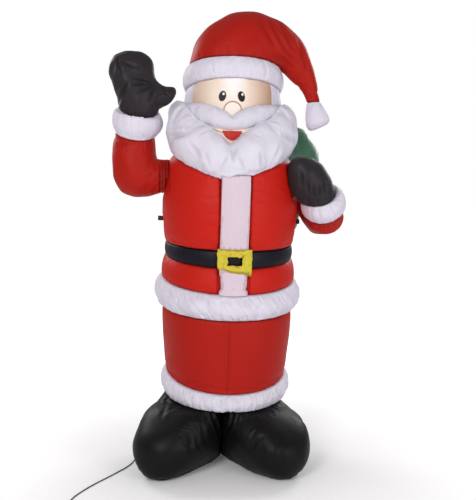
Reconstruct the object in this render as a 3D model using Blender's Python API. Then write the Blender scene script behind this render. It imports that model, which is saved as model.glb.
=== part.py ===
"""Inflatable Santa for the garden, about 2.4 m tall, blown up by a small fan at its back.

Metres, +Z up. The figure faces -Y and +X is on the viewer's right. Each sewn lobe of the
envelope is one closed solid. Lobes that share a seam meet with a gap of GAP.
"""
import math

import bmesh
import bpy
from mathutils import Matrix, Vector

# Whole figure
GAP = 0.0003
FLATNESS = 0.000002
AXIS_X = 0.0
AXIS_Y = 0.0
LEAN = math.radians(1.7)
FOOT_SHIFT = -0.034
DEPTH = 0.97
HEAD_TURN = math.radians(-6.0)

# Heights of the lobes that stack on the body's axis, from the ankle seam up
ANKLE_LEVEL = 0.362
LEG_TRIM_HEIGHT = 0.130
TROUSERS_HEIGHT = 0.348
HEM_TRIM_HEIGHT = 0.156
SKIRT_HEIGHT = 0.117
BELT_WIDTH = 0.068
JACKET_HEIGHT = 0.479
HEAD_HEIGHT = 0.320
HAT_BAND_HEIGHT = 0.129

# Radius of each seam on that axis
ANKLE_RADIUS = 0.316
LEG_SEAM_RADIUS = 0.324
THIGH_SEAM_RADIUS = 0.348
HEM_SEAM_RADIUS = 0.358
WAIST_RADIUS = 0.341
NECK_RADIUS = 0.262
BROW_RADIUS = 0.251
CROWN_RADIUS = 0.238

# How far a lobe swells past its seams
LEG_TRIM_SWELL = 0.028
TROUSERS_SWELL = 0.004
HEM_TRIM_SWELL = 0.038
SKIRT_SWELL = 0.007
BELT_SWELL = 0.004
HEAD_SWELL = 0.006
HAT_BAND_SWELL = 0.023
PUCKER = 0.004
PUCKER_COUNT = 12

# Facets round the lobes
BODY_FACETS = 28
TRIM_FACETS = 36
LIMB_FACETS = 16
HAT_FACETS = 24
BOOT_FACETS = 24
SACK_FACETS = 14

# White band down the front of the jacket, and the buckle
PLACKET_WIDTH = 0.144
PLACKET_SWELL = 0.007
BUCKLE_WIDTH = 0.176
BUCKLE_HEIGHT = 0.132
BUCKLE_SWELL = 0.026
BUCKLE_WINDOW_WIDTH = 0.078
BUCKLE_WINDOW_HEIGHT = 0.043

# Face
FACE_HALF_WIDTH = 0.200
NECK_LEVEL = (
    ANKLE_LEVEL + LEG_TRIM_HEIGHT + TROUSERS_HEIGHT + HEM_TRIM_HEIGHT
    + SKIRT_HEIGHT + BELT_WIDTH + JACKET_HEIGHT)
CHIN_BELOW_NECK = 0.174
BEARD_CHIN_LEVEL = NECK_LEVEL - CHIN_BELOW_NECK
BEARD_REACH = 0.352
BEARD_CHIN_REACH = 0.392
MOUSTACHE_ABOVE_NECK = 0.097
MOUSTACHE_LEVEL = NECK_LEVEL + MOUSTACHE_ABOVE_NECK
MOUSTACHE_REACH = 0.306

# Boots
BOOT_MIDDLE = -0.050
BOOT_LENGTH = 0.76
BOOT_WIDTH = 0.43
LEFT_BOOT_TURN = math.radians(37.0)
RIGHT_BOOT_TURN = math.radians(28.0)
RIGHT_BOOT_FORWARD = 0.030

# Webbing loops for the guy ropes
WEBBING_WIDTH = 0.025
WEBBING_THICKNESS = 0.003
LOOP_REACH = 0.024
LOOP_BREADTH = 0.015
LOOP_LEVEL = 1.300

# Blower
BLOWER_RADIUS = 0.085
BLOWER_BACK = 0.335
BLOWER_DEPTH = 0.150
BLOWER_WALL = 0.009
BLOWER_RECESS = 0.040
BLOWER_CLEARANCE = 0.002
GRILLE_THICKNESS = 0.005
GRILLE_HUB = 0.020
GRILLE_BARS = 6
GRILLE_BAR_WIDTH = 0.007

# Mains lead
CORD_DIAMETER = 0.006
RELIEF_LENGTH = 0.030
RELIEF_RADIUS = 0.0075
RELIEF_TIP_RADIUS = 0.0045
COIL_RADIUS = 0.033
COIL_CENTRE = (-0.838, -0.652)
COIL_WIDTH = 0.013
COIL_HEIGHT = 0.0126
COIL_LEAD_IN = 0.012
TAIL_LENGTH = 0.062
CORD_LIFT = 0.0003
CORD_STEP = 0.021
TAIL_STEP = 0.008
PLUG_LENGTH = 0.046
PLUG_RADIUS = 0.014
PIN_RADIUS = 0.002
PIN_LENGTH = 0.019
PIN_SPACING = 0.014


def mix(a, b, t):
    return a + (b - a) * t


def smooth_row(rows, steps):
    """Rows of numbers read from a smooth curve through the given rows."""
    result = []
    for i in range(len(rows) - 1):
        before = rows[max(i - 1, 0)]
        start = rows[i]
        end = rows[i + 1]
        after = rows[min(i + 2, len(rows) - 1)]
        for k in range(steps):
            t = k / steps
            row = []
            for p, a, b, n in zip(before, start, end, after):
                slope_a = (b - p) / 2
                slope_b = (n - a) / 2
                value = (2 * t ** 3 - 3 * t ** 2 + 1) * a + (t ** 3 - 2 * t ** 2 + t) * slope_a
                value += (3 * t ** 2 - 2 * t ** 3) * b + (t ** 3 - t ** 2) * slope_b
                row.append(value)
            result.append(tuple(row))
    result.append(tuple(rows[-1]))
    return result


def clear_scene():
    for obj in list(bpy.data.objects):
        bpy.data.objects.remove(obj, do_unlink=True)


def make_material(name, colour, roughness, metallic=0.0):
    material = bpy.data.materials.new(name)
    material.use_nodes = True
    shader = material.node_tree.nodes["Principled BSDF"]
    shader.inputs["Base Color"].default_value = (*colour, 1.0)
    shader.inputs["Roughness"].default_value = roughness
    shader.inputs["Metallic"].default_value = metallic
    return material


def is_bent(face):
    middle = face.calc_center_median()
    return any(abs((vert.co - middle).dot(face.normal)) > FLATNESS for vert in face.verts)


def make_object(name, bm, material, parent=None):
    """Closed, outward facing mesh as a named object, shaded smooth.

    Bent faces are split into triangles, so that a piece and its cutter fold the same way.
    """
    bmesh.ops.recalc_face_normals(bm, faces=bm.faces[:])
    if bm.calc_volume(signed=True) < 0.0:
        bmesh.ops.reverse_faces(bm, faces=bm.faces[:])
    bent = [face for face in bm.faces if is_bent(face)]
    bmesh.ops.triangulate(bm, faces=bent, quad_method="FIXED")
    mesh = bpy.data.meshes.new(name)
    bm.to_mesh(mesh)
    bm.free()
    mesh.materials.append(material)
    mesh.shade_smooth()
    mesh.set_sharp_from_angle(angle=math.radians(50.0))
    obj = bpy.data.objects.new(name, mesh)
    bpy.context.scene.collection.objects.link(obj)
    obj.parent = parent
    return obj


def make_empty(name, location, rotation, parent=None):
    empty = bpy.data.objects.new(name, None)
    empty.location = location
    empty.rotation_euler = rotation
    empty.parent = parent
    bpy.context.scene.collection.objects.link(empty)
    return empty


CUTTERS = {}


def cutter_of(obj):
    """Hidden copy of a lobe, larger by GAP all round, for cutting what lies against it."""
    if obj.name not in CUTTERS:
        bm = bmesh.new()
        bm.from_mesh(obj.data)
        bm.normal_update()
        moves = [vert.normal * vert.calc_shell_factor() * GAP for vert in bm.verts]
        for vert, move in zip(bm.verts, moves):
            vert.co += move
        cutter = make_object("space_of_" + obj.name, bm, obj.data.materials[0], obj.parent)
        hide_cutter(cutter)
        CUTTERS[obj.name] = cutter
    return CUTTERS[obj.name]


def hide_cutter(cutter):
    cutter.hide_render = True
    cutter.display_type = "WIRE"


def subtract(obj, cutter):
    modifier = obj.modifiers.new("fit " + cutter.name, "BOOLEAN")
    modifier.operation = "DIFFERENCE"
    modifier.solver = "EXACT"
    modifier.object = cutter


def fit_against(obj, *neighbours):
    for neighbour in neighbours:
        subtract(obj, cutter_of(neighbour))


def skin_rings(rings):
    """Closed skin over a row of rings that all have the same number of points."""
    bm = bmesh.new()
    loops = [[bm.verts.new(point) for point in ring] for ring in rings]
    count = len(loops[0])
    for low, high in zip(loops, loops[1:]):
        for i in range(count):
            j = (i + 1) % count
            bm.faces.new((low[i], low[j], high[j], high[i]))
    bm.faces.new(list(reversed(loops[0])))
    bm.faces.new(loops[-1])
    return bm


def body_ring(height, droop, radius, facets, pucker=0.0):
    """Ring on the body's axis; droop lowers its front edge for each metre forward."""
    points = []
    for i in range(facets):
        angle = 2 * math.pi * i / facets
        reach = radius + pucker * math.cos(PUCKER_COUNT * angle)
        x = reach * math.cos(angle)
        y = DEPTH * reach * math.sin(angle)
        points.append(Vector((x, y, height + droop * y)))
    return points


class Seam:
    """Level where two lobes of the body are sewn together."""

    def __init__(self, height, droop, radius):
        self.height = height
        self.droop = droop
        self.radius = radius


def body_seams():
    rows = [
        (ANKLE_LEVEL, 0.13, ANKLE_RADIUS),
        (LEG_TRIM_HEIGHT, 0.25, LEG_SEAM_RADIUS),
        (TROUSERS_HEIGHT, 0.12, THIGH_SEAM_RADIUS),
        (HEM_TRIM_HEIGHT, 0.19, HEM_SEAM_RADIUS),
        (SKIRT_HEIGHT, 0.15, WAIST_RADIUS),
        (BELT_WIDTH, 0.09, WAIST_RADIUS),
        (JACKET_HEIGHT, 0.0, NECK_RADIUS),
        (HEAD_HEIGHT, -0.19, BROW_RADIUS),
        (HAT_BAND_HEIGHT, -0.12, CROWN_RADIUS),
    ]
    height = 0.0
    seams = []
    for rise, droop, radius in rows:
        height += rise
        seams.append(Seam(height, droop, radius))
    return seams


def lobe(name, low, high, shape, material, parent, facets=BODY_FACETS, pucker=0.0):
    """Lobe between two seams; shape lists (share of the height, swell past the seams)."""
    rings = []
    for share, swell in shape:
        height = mix(low.height + GAP / 2, high.height - GAP / 2, share)
        droop = mix(low.droop, high.droop, share)
        radius = mix(low.radius, high.radius, share) + swell
        rings.append(body_ring(height, droop, radius, facets, pucker * math.sin(math.pi * share)))
    return make_object(name, skin_rings(rings), material, parent)


def swell_shape(swell, steps, fullness=0.5):
    """Even round swell from seam to seam."""
    shape = []
    for i in range(steps + 1):
        share = (1 - math.cos(math.pi * i / steps)) / 2
        shape.append((share, swell * math.sin(math.pi * share) ** fullness))
    shape[-1] = (1.0, 0.0)
    return shape


def tube(name, stations, facets, material, parent, first=None, last=None):
    """Lobe over stations (edge x, y, z, other edge x, y, z, half depth).

    first and last are the directions that its two end seams face, where they matter.
    """
    edges = [(Vector(row[0:3]), Vector(row[3:6]), row[6]) for row in stations]
    centres = [(a + b) / 2 for a, b, _ in edges]
    end = len(centres) - 1
    rings = []
    for i, (a, b, depth) in enumerate(edges):
        along = centres[min(i + 1, end)] - centres[max(i - 1, 0)]
        if i == 0 and first is not None:
            along = first
        if i == end and last is not None:
            along = last
        across = (b - a) / 2
        side = along.cross(across).normalized() * depth
        ring = []
        for k in range(facets):
            angle = 2 * math.pi * k / facets
            ring.append(centres[i] + across * math.cos(angle) + side * math.sin(angle))
        rings.append(ring)
    return make_object(name, skin_rings(rings), material, parent)


def make_body(seams, colours, figure):
    ankle, leg, thigh, hem, waist_low, waist_high, neck, brow, crown = seams
    parts = {}
    parts["leg_trim"] = lobe(
        "leg_trim", ankle, leg, swell_shape(LEG_TRIM_SWELL, 4), colours["trim"], figure,
        TRIM_FACETS, PUCKER)
    parts["trousers"] = lobe(
        "trousers", leg, thigh, swell_shape(TROUSERS_SWELL, 4), colours["red"], figure)
    parts["hem_trim"] = lobe(
        "hem_trim", thigh, hem, swell_shape(HEM_TRIM_SWELL, 5), colours["trim"], figure,
        TRIM_FACETS, PUCKER)
    parts["skirt"] = lobe(
        "jacket_skirt", hem, waist_low, swell_shape(SKIRT_SWELL, 3), colours["red"], figure)
    parts["belt"] = lobe(
        "belt", waist_low, waist_high, swell_shape(BELT_SWELL, 2), colours["black"], figure)
    shoulders = [
        (0.0, 0.0), (0.11, 0.017), (0.30, 0.043), (0.46, 0.056), (0.64, 0.061),
        (0.78, 0.066), (0.88, 0.064), (0.95, 0.048), (1.0, 0.0)]
    parts["jacket"] = lobe("jacket", waist_high, neck, shoulders, colours["red"], figure)
    parts["hat_band"] = lobe(
        "hat_band", brow, crown, swell_shape(HAT_BAND_SWELL, 4), colours["trim"], figure,
        TRIM_FACETS, PUCKER / 2)
    return parts


def half_space(name, parent, centre, size, material):
    bm = bmesh.new()
    bmesh.ops.create_cube(bm, size=1.0)
    bmesh.ops.scale(bm, verts=bm.verts, vec=size)
    bmesh.ops.translate(bm, verts=bm.verts, vec=centre)
    cutter = make_object(name, bm, material, parent)
    hide_cutter(cutter)
    return cutter


def make_head(seams, colours, figure, turned):
    """Head in two sewn panels: the skin in front and the white hair round the back."""
    neck, brow = seams[6], seams[7]
    shape = swell_shape(HEAD_SWELL, 4)
    plane = -DEPTH * math.sqrt(BROW_RADIUS ** 2 - FACE_HALF_WIDTH ** 2)
    side = 1.0
    face = lobe("face", neck, brow, shape, colours["skin"], figure)
    hair = lobe("hair", neck, brow, shape, colours["hair"], figure)
    centre_z = (neck.height + brow.height) / 2
    behind = half_space(
        "space_behind_face", turned, (0, plane - GAP / 2 + side / 2, centre_z),
        (side, side, side), colours["hair"])
    front = half_space(
        "space_before_hair", turned, (0, plane + GAP / 2 - side / 2, centre_z),
        (side, side, side), colours["skin"])
    whole = cutter_of(lobe("head", neck, brow, shape, colours["hair"], figure))
    hide_cutter(bpy.data.objects["head"])
    subtract(face, behind)
    subtract(hair, front)
    return face, hair, whole


def crescent(name, angles, section, facets, material, parent):
    """Pad that wraps round the head: section(angle) gives (inner, outer, low, high)."""
    rings = []
    for angle in angles:
        inner, outer, low, high = section(angle)
        centre_r = (inner + outer) / 2
        half_r = (outer - inner) / 2
        centre_z = (low + high) / 2
        half_z = (high - low) / 2
        ring = []
        for k in range(facets):
            turn = 2 * math.pi * k / facets
            c = math.cos(turn)
            s = math.sin(turn)
            reach = centre_r + half_r * math.copysign(abs(c) ** 0.8, c)
            z = centre_z + half_z * math.copysign(abs(s) ** 0.8, s)
            ring.append(Vector((reach * math.sin(angle), -DEPTH * reach * math.cos(angle), z)))
        rings.append(ring)
    return make_object(name, skin_rings(rings), material, parent)


def even_angles(half_degrees, count):
    """Angles either side of the front, closer together towards both ends."""
    half = math.radians(half_degrees)
    return [-half * math.cos(math.pi * i / (count - 1)) for i in range(count)]


def taper(angle, half_degrees, power=0.5):
    """1 at the front, falling to nearly 0 at the ends of a crescent."""
    share = min(abs(angle) / math.radians(half_degrees), 0.999)
    return (1 - share ** 4) ** power


BEARD_HALF_SPREAD = 104.0
MOUSTACHE_HALF_SPREAD = 74.0
MOUTH_HALF_SPREAD = 24.0


def beard_top(angle):
    spread = abs(math.sin(min(abs(angle), math.pi / 2)))
    return BEARD_CHIN_LEVEL + 0.204 + 0.215 * spread + 0.022 * spread ** 6


def beard_section(angle):
    end = taper(angle, BEARD_HALF_SPREAD)
    front = max(math.cos(angle), 0.0)
    spread = abs(math.sin(min(abs(angle), math.pi / 2)))
    low = BEARD_CHIN_LEVEL + 0.138 * spread ** 1.25
    high = beard_top(angle)
    middle = mix(low, high, 0.45)
    outer = mix(BEARD_REACH, BEARD_CHIN_REACH, front ** 1.5)
    inner = 0.235
    outer = inner + (outer - inner) * mix(0.35, 1.0, end)
    return inner, outer, mix(middle, low, mix(0.2, 1.0, end)), mix(middle, high, mix(0.2, 1.0, end))


def moustache_low(angle):
    return MOUSTACHE_LEVEL + 0.150 * abs(math.sin(angle)) ** 2.5


def moustache_section(angle):
    end = taper(angle, MOUSTACHE_HALF_SPREAD, 0.8)
    low = moustache_low(angle)
    lift = min(abs(math.sin(angle)) * 2.4, 1.0)
    high = MOUSTACHE_LEVEL + 0.092 + 0.028 * lift + 0.042 * abs(math.sin(angle))
    middle = mix(low, high, 0.6)
    inner = 0.225
    outer = inner + (MOUSTACHE_REACH - inner) * mix(0.42, 1.0, end)
    return inner, outer, mix(middle, low, mix(0.12, 1, end)), mix(middle, high, mix(0.12, 1, end))


def mouth_section(angle):
    """The skin panel with the printed mouth fills the V between moustache and beard."""
    low = beard_top(angle) - 0.030
    high = moustache_low(angle) + 0.030
    return 0.225, 0.292, low, high


def make_face(parts, colours, turned):
    face, hair, head_space = make_head(body_seams(), colours, turned.parent, turned)
    moustache = crescent(
        "moustache", even_angles(MOUSTACHE_HALF_SPREAD, 15), moustache_section, 10,
        colours["moustache"], turned)
    mouth = crescent(
        "mouth", even_angles(MOUTH_HALF_SPREAD, 5), mouth_section, 8, colours["skin"], turned)
    beard = crescent(
        "beard", even_angles(BEARD_HALF_SPREAD, 17), beard_section, 12, colours["beard"], turned)
    for piece in (moustache, mouth, beard):
        subtract(piece, head_space)
    fit_against(mouth, moustache)
    fit_against(beard, parts["jacket"], parts["placket_upper"], moustache, mouth)
    parts.update(face=face, hair=hair, moustache=moustache, mouth=mouth, beard=beard)
    parts["head_space"] = head_space


def front_pad(name, low, high, width, shape, inner, material, parent, rows=6, columns=5):
    """Pad on the front of the body: low(y) and high(y) levels, shape(u, v) its outer reach."""
    bm = bmesh.new()
    layers = []
    for layer in (0, 1):
        grid = []
        for r in range(rows + 1):
            line = []
            for c in range(columns + 1):
                u = c / columns
                v = r / rows
                x = (u - 0.5) * width
                reach = inner if layer == 0 else shape(u, v)
                y = -math.sqrt(max(reach ** 2 - x ** 2, 0.0)) * DEPTH
                z = mix(low(y), high(y), v)
                line.append(bm.verts.new((x, y, z)))
            grid.append(line)
        layers.append(grid)
    inside, outside = layers
    for r in range(rows):
        for c in range(columns):
            for grid in layers:
                bm.faces.new((grid[r][c], grid[r][c + 1], grid[r + 1][c + 1], grid[r + 1][c]))
    for r in range(rows):
        for c in (0, columns):
            bm.faces.new((inside[r][c], inside[r + 1][c], outside[r + 1][c], outside[r][c]))
    for c in range(columns):
        for r in (0, rows):
            bm.faces.new((inside[r][c], inside[r][c + 1], outside[r][c + 1], outside[r][c]))
    return make_object(name, bm, material, parent)


def level(seam, offset=0.0):
    return lambda y: seam.height + offset + seam.droop * y


def make_front(parts, seams, colours, figure):
    ankle, leg, thigh, hem, waist_low, waist_high, neck, brow, crown = seams
    chest = waist_high.radius + 0.020

    def upper_reach(u, v):
        swell = math.sin(math.pi * u) ** 0.5 * PLACKET_SWELL
        return mix(waist_high.radius + 0.002, chest + 0.002, min(v * 2.5, 1.0)) + swell

    def lower_reach(u, v):
        swell = math.sin(math.pi * u) ** 0.5 * PLACKET_SWELL
        return mix(hem.radius, waist_low.radius + 0.003, v) + swell + 0.003

    top = Seam(BEARD_CHIN_LEVEL + 0.045, 0.0, chest)
    upper = front_pad(
        "placket_upper", level(waist_high, GAP), level(top), PLACKET_WIDTH, upper_reach,
        0.30, colours["placket"], figure)
    lower = front_pad(
        "placket_lower", level(hem, GAP), level(waist_low, -GAP), PLACKET_WIDTH, lower_reach,
        0.30, colours["placket"], figure, rows=3)
    fit_against(upper, parts["jacket"])
    fit_against(lower, parts["skirt"])
    parts.update(placket_upper=upper, placket_lower=lower)

    def buckle_reach(u, v):
        across = math.sin(math.pi * mix(0.08, 0.92, u)) ** 0.5
        up = math.sin(math.pi * mix(0.08, 0.92, v)) ** 0.5
        return waist_high.radius + BUCKLE_SWELL * across * up

    middle = Seam(
        (waist_low.height + waist_high.height) / 2, (waist_low.droop + waist_high.droop) / 2,
        waist_high.radius)
    half = BUCKLE_HEIGHT / 2
    buckle = front_pad(
        "buckle", level(middle, -half), level(middle, half), BUCKLE_WIDTH, buckle_reach,
        0.30, colours["yellow"], figure, rows=4, columns=5)
    window = half_space(
        "space_of_window", figure,
        (0, -middle.radius, middle.height - middle.droop * middle.radius),
        (BUCKLE_WINDOW_WIDTH, 0.2, BUCKLE_WINDOW_HEIGHT), colours["black"])
    fit_against(buckle, parts["belt"], parts["jacket"], parts["skirt"], upper, lower)
    subtract(buckle, window)
    parts["buckle"] = buckle


def make_hat(parts, crown, colours, figure):
    """Hat that bends over to the viewer's right and ends in a small white tail."""
    left = crown.height + 0.011
    right = crown.height - 0.009
    stations = [
        (0.242, 0, right + 0.020, -0.216, 0, left + 0.099, 0.230),
        (0.247, 0, right + 0.022, -0.150, 0, left + 0.195, 0.218),
        (0.252, 0, right + 0.017, -0.030, 0, left + 0.272, 0.200),
        (0.258, 0, right + 0.014, 0.110, 0, left + 0.288, 0.176),
        (0.266, 0, right + 0.006, 0.235, 0, left + 0.250, 0.148),
        (0.285, 0, right - 0.015, 0.335, 0, left + 0.170, 0.118),
        (0.318, 0, right - 0.038, 0.395, 0, left + 0.092, 0.090),
        (0.347, 0, right - 0.070, 0.435, 0, left + 0.005, 0.066),
        (0.372, 0, right - 0.105, 0.460, 0, left - 0.070, 0.050),
        (0.404, 0, right - 0.157, 0.475, 0, left - 0.169, 0.036),
    ]
    rings = [body_ring(crown.height + GAP / 2, crown.droop, crown.radius, HAT_FACETS)]
    for row in stations:
        centre = (Vector(row[0:3]) + Vector(row[3:6])) / 2
        across = (Vector(row[0:3]) - Vector(row[3:6])) / 2
        ring = []
        for k in range(HAT_FACETS):
            angle = 2 * math.pi * k / HAT_FACETS
            ring.append(centre + across * math.cos(angle) + Vector((0, row[6] * math.sin(angle), 0)))
        rings.append(ring)
    hat = make_object("hat", skin_rings(rings), colours["red"], figure)
    end = stations[-1]
    drop = Vector((0.0, 0.0, GAP))
    tail_start = Vector(end[0:3]) - drop
    tail_edge = Vector(end[3:6]) - drop
    tail = [
        (*tail_start, *tail_edge, end[6]),
        (0.398, 0, right - 0.195, 0.502, 0, left - 0.206, 0.050),
        (0.397, 0, right - 0.240, 0.526, 0, left - 0.244, 0.057),
        (0.403, 0, right - 0.278, 0.532, 0, left - 0.264, 0.056),
        (0.414, 0, right - 0.299, 0.520, 0, left - 0.284, 0.040),
        (0.434, 0, right - 0.305, 0.496, 0, left - 0.297, 0.016),
    ]
    pompom = tube("pompom", tail, 16, colours["trim"], figure)
    parts.update(hat=hat, pompom=pompom)


def make_raised_arm(parts, colours, figure):
    sleeve_stations = [
        (-0.330, 0.0, 1.616, -0.330, 0.0, 1.424, 0.092),
        (-0.362, 0.0, 1.608, -0.366, 0.0, 1.434, 0.084),
        (-0.385, 0.0, 1.614, -0.398, 0.0, 1.426, 0.094),
        (-0.402, 0.0, 1.622, -0.446, 0.0, 1.415, 0.104),
        (-0.404, 0.0, 1.632, -0.512, 0.0, 1.406, 0.112),
        (-0.405, 0.0, 1.642, -0.580, 0.0, 1.434, 0.114),
        (-0.406, -0.002, 1.658, -0.624, -0.002, 1.508, 0.114),
        (-0.407, -0.006, 1.684, -0.636, -0.006, 1.604, 0.112),
        (-0.410, -0.012, 1.718, -0.628, -0.012, 1.690, 0.108),
        (-0.412, -0.020, 1.730, -0.617, -0.020, 1.752, 0.102),
    ]
    cuff_stations = [
        (-0.412, -0.020, 1.730 + GAP, -0.617, -0.020, 1.752 + GAP, 0.102),
        (-0.386, -0.024, 1.748, -0.630, -0.024, 1.778, 0.122),
        (-0.367, -0.028, 1.792, -0.636, -0.028, 1.822, 0.132),
        (-0.374, -0.034, 1.832, -0.628, -0.034, 1.862, 0.124),
        (-0.396, -0.038, 1.850, -0.602, -0.038, 1.877, 0.096),
    ]
    hand_stations = [
        (-0.396, -0.038, 1.850 + GAP, -0.602, -0.038, 1.877 + GAP, 0.094),
        (-0.386, -0.042, 1.912, -0.614, -0.042, 1.930, 0.096),
        (-0.400, -0.048, 1.980, -0.637, -0.048, 1.984, 0.092),
        (-0.417, -0.052, 2.046, -0.655, -0.052, 2.048, 0.086),
        (-0.424, -0.056, 2.098, -0.652, -0.056, 2.098, 0.076),
        (-0.450, -0.060, 2.140, -0.628, -0.060, 2.140, 0.054),
        (-0.500, -0.062, 2.165, -0.576, -0.062, 2.163, 0.022),
    ]
    thumb_stations = [
        (-0.475, -0.044, 1.890, -0.480, -0.044, 2.010, 0.060),
        (-0.397, -0.046, 1.872, -0.424, -0.046, 2.020, 0.062),
        (-0.360, -0.047, 1.884, -0.378, -0.048, 1.996, 0.053),
        (-0.330, -0.048, 1.908, -0.346, -0.050, 1.990, 0.043),
        (-0.308, -0.048, 1.938, -0.324, -0.051, 1.993, 0.031),
        (-0.300, -0.048, 1.966, -0.308, -0.052, 1.991, 0.014),
    ]
    wrist = Vector((0.107, -0.45, 1.0))
    cuff_mouth = Vector((0.131, -0.62, 1.0))
    sleeve = tube(
        "raised_sleeve", sleeve_stations, LIMB_FACETS, colours["red"], figure, last=wrist)
    cuff = tube(
        "raised_cuff", cuff_stations, LIMB_FACETS, colours["trim"], figure, wrist, cuff_mouth)
    mitten = tube(
        "raised_mitten", hand_stations, LIMB_FACETS, colours["black"], figure, cuff_mouth)
    thumb = tube("space_of_thumb", thumb_stations, 12, colours["black"], figure)
    hide_cutter(thumb)
    join = mitten.modifiers.new("thumb", "BOOLEAN")
    join.operation = "UNION"
    join.object = thumb
    fit_against(sleeve, parts["jacket"])
    parts.update(raised_sleeve=sleeve, raised_cuff=cuff, raised_mitten=mitten)


def make_lowered_arm(parts, colours, figure):
    """Arm that comes round from the back and holds the sack's neck at the shoulder."""
    sleeve_stations = [
        (0.315, 0.070, 1.575, 0.335, 0.150, 1.400, 0.088),
        (0.385, 0.055, 1.530, 0.400, 0.150, 1.355, 0.094),
        (0.440, 0.035, 1.485, 0.475, 0.140, 1.305, 0.098),
        (0.475, 0.010, 1.450, 0.520, 0.085, 1.252, 0.102),
        (0.492, -0.012, 1.432, 0.530, 0.000, 1.236, 0.104),
        (0.500, -0.026, 1.425, 0.520, -0.090, 1.240, 0.104),
        (0.503, -0.035, 1.424, 0.505, -0.160, 1.300, 0.100),
    ]
    wrist = Vector((-0.33, -0.66, 0.67))
    cuff_mouth = Vector((-0.30, -0.45, 0.84))
    start = wrist.normalized() * GAP
    cuff_stations = [
        (0.503, -0.035 + start.y, 1.424 + start.z, 0.505, -0.160 + start.y, 1.300 + start.z, 0.100),
        (0.497, -0.037, 1.463, 0.497, -0.192, 1.306, 0.116),
        (0.483, -0.048, 1.489, 0.483, -0.216, 1.324, 0.122),
        (0.468, -0.068, 1.504, 0.468, -0.226, 1.336, 0.116),
        (0.456, -0.074, 1.478, 0.456, -0.242, 1.388, 0.096),
    ]
    hand_stations = [
        (0.456, -0.074, 1.478 + 2 * GAP, 0.456, -0.242, 1.388 + 2 * GAP, 0.093),
        (0.435, -0.088, 1.487, 0.435, -0.256, 1.433, 0.104),
        (0.404, -0.092, 1.515, 0.404, -0.272, 1.495, 0.110),
        (0.371, -0.100, 1.558, 0.371, -0.276, 1.554, 0.104),
        (0.346, -0.112, 1.592, 0.346, -0.266, 1.592, 0.083),
        (0.327, -0.130, 1.619, 0.327, -0.246, 1.619, 0.055),
        (0.319, -0.164, 1.639, 0.319, -0.212, 1.639, 0.022),
    ]
    sleeve = tube(
        "lowered_sleeve", sleeve_stations, LIMB_FACETS, colours["red"], figure, last=wrist)
    cuff = tube(
        "lowered_cuff", cuff_stations, LIMB_FACETS, colours["trim"], figure, wrist, cuff_mouth)
    mitten = tube(
        "lowered_mitten", hand_stations, LIMB_FACETS, colours["black"], figure, cuff_mouth)
    fit_against(sleeve, parts["jacket"])
    fit_against(cuff, parts["jacket"])
    fit_against(mitten, parts["jacket"], parts["beard"])
    parts.update(lowered_sleeve=sleeve, lowered_cuff=cuff, lowered_mitten=mitten)


def make_sack(parts, colours, figure):
    """Sack over the shoulder, hanging down the back."""
    stations = [
        (0.170, 0.29, 1.210, 0.290, 0.29, 1.205, 0.060),
        (0.060, 0.30, 1.235, 0.410, 0.30, 1.230, 0.120),
        (-0.020, 0.30, 1.310, 0.500, 0.30, 1.310, 0.165),
        (-0.060, 0.30, 1.430, 0.542, 0.30, 1.440, 0.180),
        (-0.050, 0.29, 1.580, 0.548, 0.29, 1.600, 0.175),
        (0.000, 0.28, 1.700, 0.540, 0.28, 1.705, 0.155),
        (0.080, 0.27, 1.790, 0.488, 0.27, 1.775, 0.115),
        (0.200, 0.26, 1.835, 0.446, 0.26, 1.826, 0.060),
    ]
    sack = tube("sack", stations, SACK_FACETS, colours["green"], figure)
    fit_against(sack, parts["jacket"], parts["belt"], parts["lowered_sleeve"], parts["beard"])
    subtract(sack, parts["head_space"])
    subtract(sack, cutter_of(parts["hat_band"]))
    parts["sack"] = sack


def rounded(value):
    """Cosine or sine of a ring whose ends are fuller than an ellipse's."""
    return math.copysign(abs(value) ** 0.78, value)


def boot_rings(side, toe_turn, forward):
    """Rings of a boot: height, centre x and y, half length, half width, turn share."""
    length = BOOT_LENGTH / 2
    width = BOOT_WIDTH / 2
    rows = [
        (0.0, 0.188, -0.132, 0.720, 0.400, 1.0),
        (0.018, 0.188, -0.130, 0.810, 0.560, 1.0),
        (0.060, 0.186, -0.120, 0.910, 0.730, 1.0),
        (0.120, 0.182, -0.108, 0.970, 0.870, 1.0),
        (0.180, 0.174, -0.094, 0.970, 0.950, 0.95),
        (0.235, 0.160, -0.070, 0.900, 0.960, 0.82),
        (0.285, 0.140, -0.038, 0.800, 0.900, 0.58),
        (0.345, 0.118, 0.0, 0.730, 0.830, 0.32),
        (0.480, 0.112, 0.010, 0.720, 0.810, 0.30),
    ]
    rings = []
    for height, x, y, long_share, wide_share, turn_share in rows:
        turn = toe_turn * turn_share
        toe = Vector((side * math.sin(turn), -math.cos(turn), 0))
        across = Vector((side * math.cos(turn), math.sin(turn), 0))
        centre = Vector((BOOT_MIDDLE + side * x, y - forward * turn_share, height))
        ring = []
        for k in range(BOOT_FACETS):
            angle = 2 * math.pi * k / BOOT_FACETS
            ring.append(centre + toe * length * long_share * rounded(math.cos(angle))
                        + across * width * wide_share * rounded(math.sin(angle)))
        rings.append(ring)
    return rings


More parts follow.
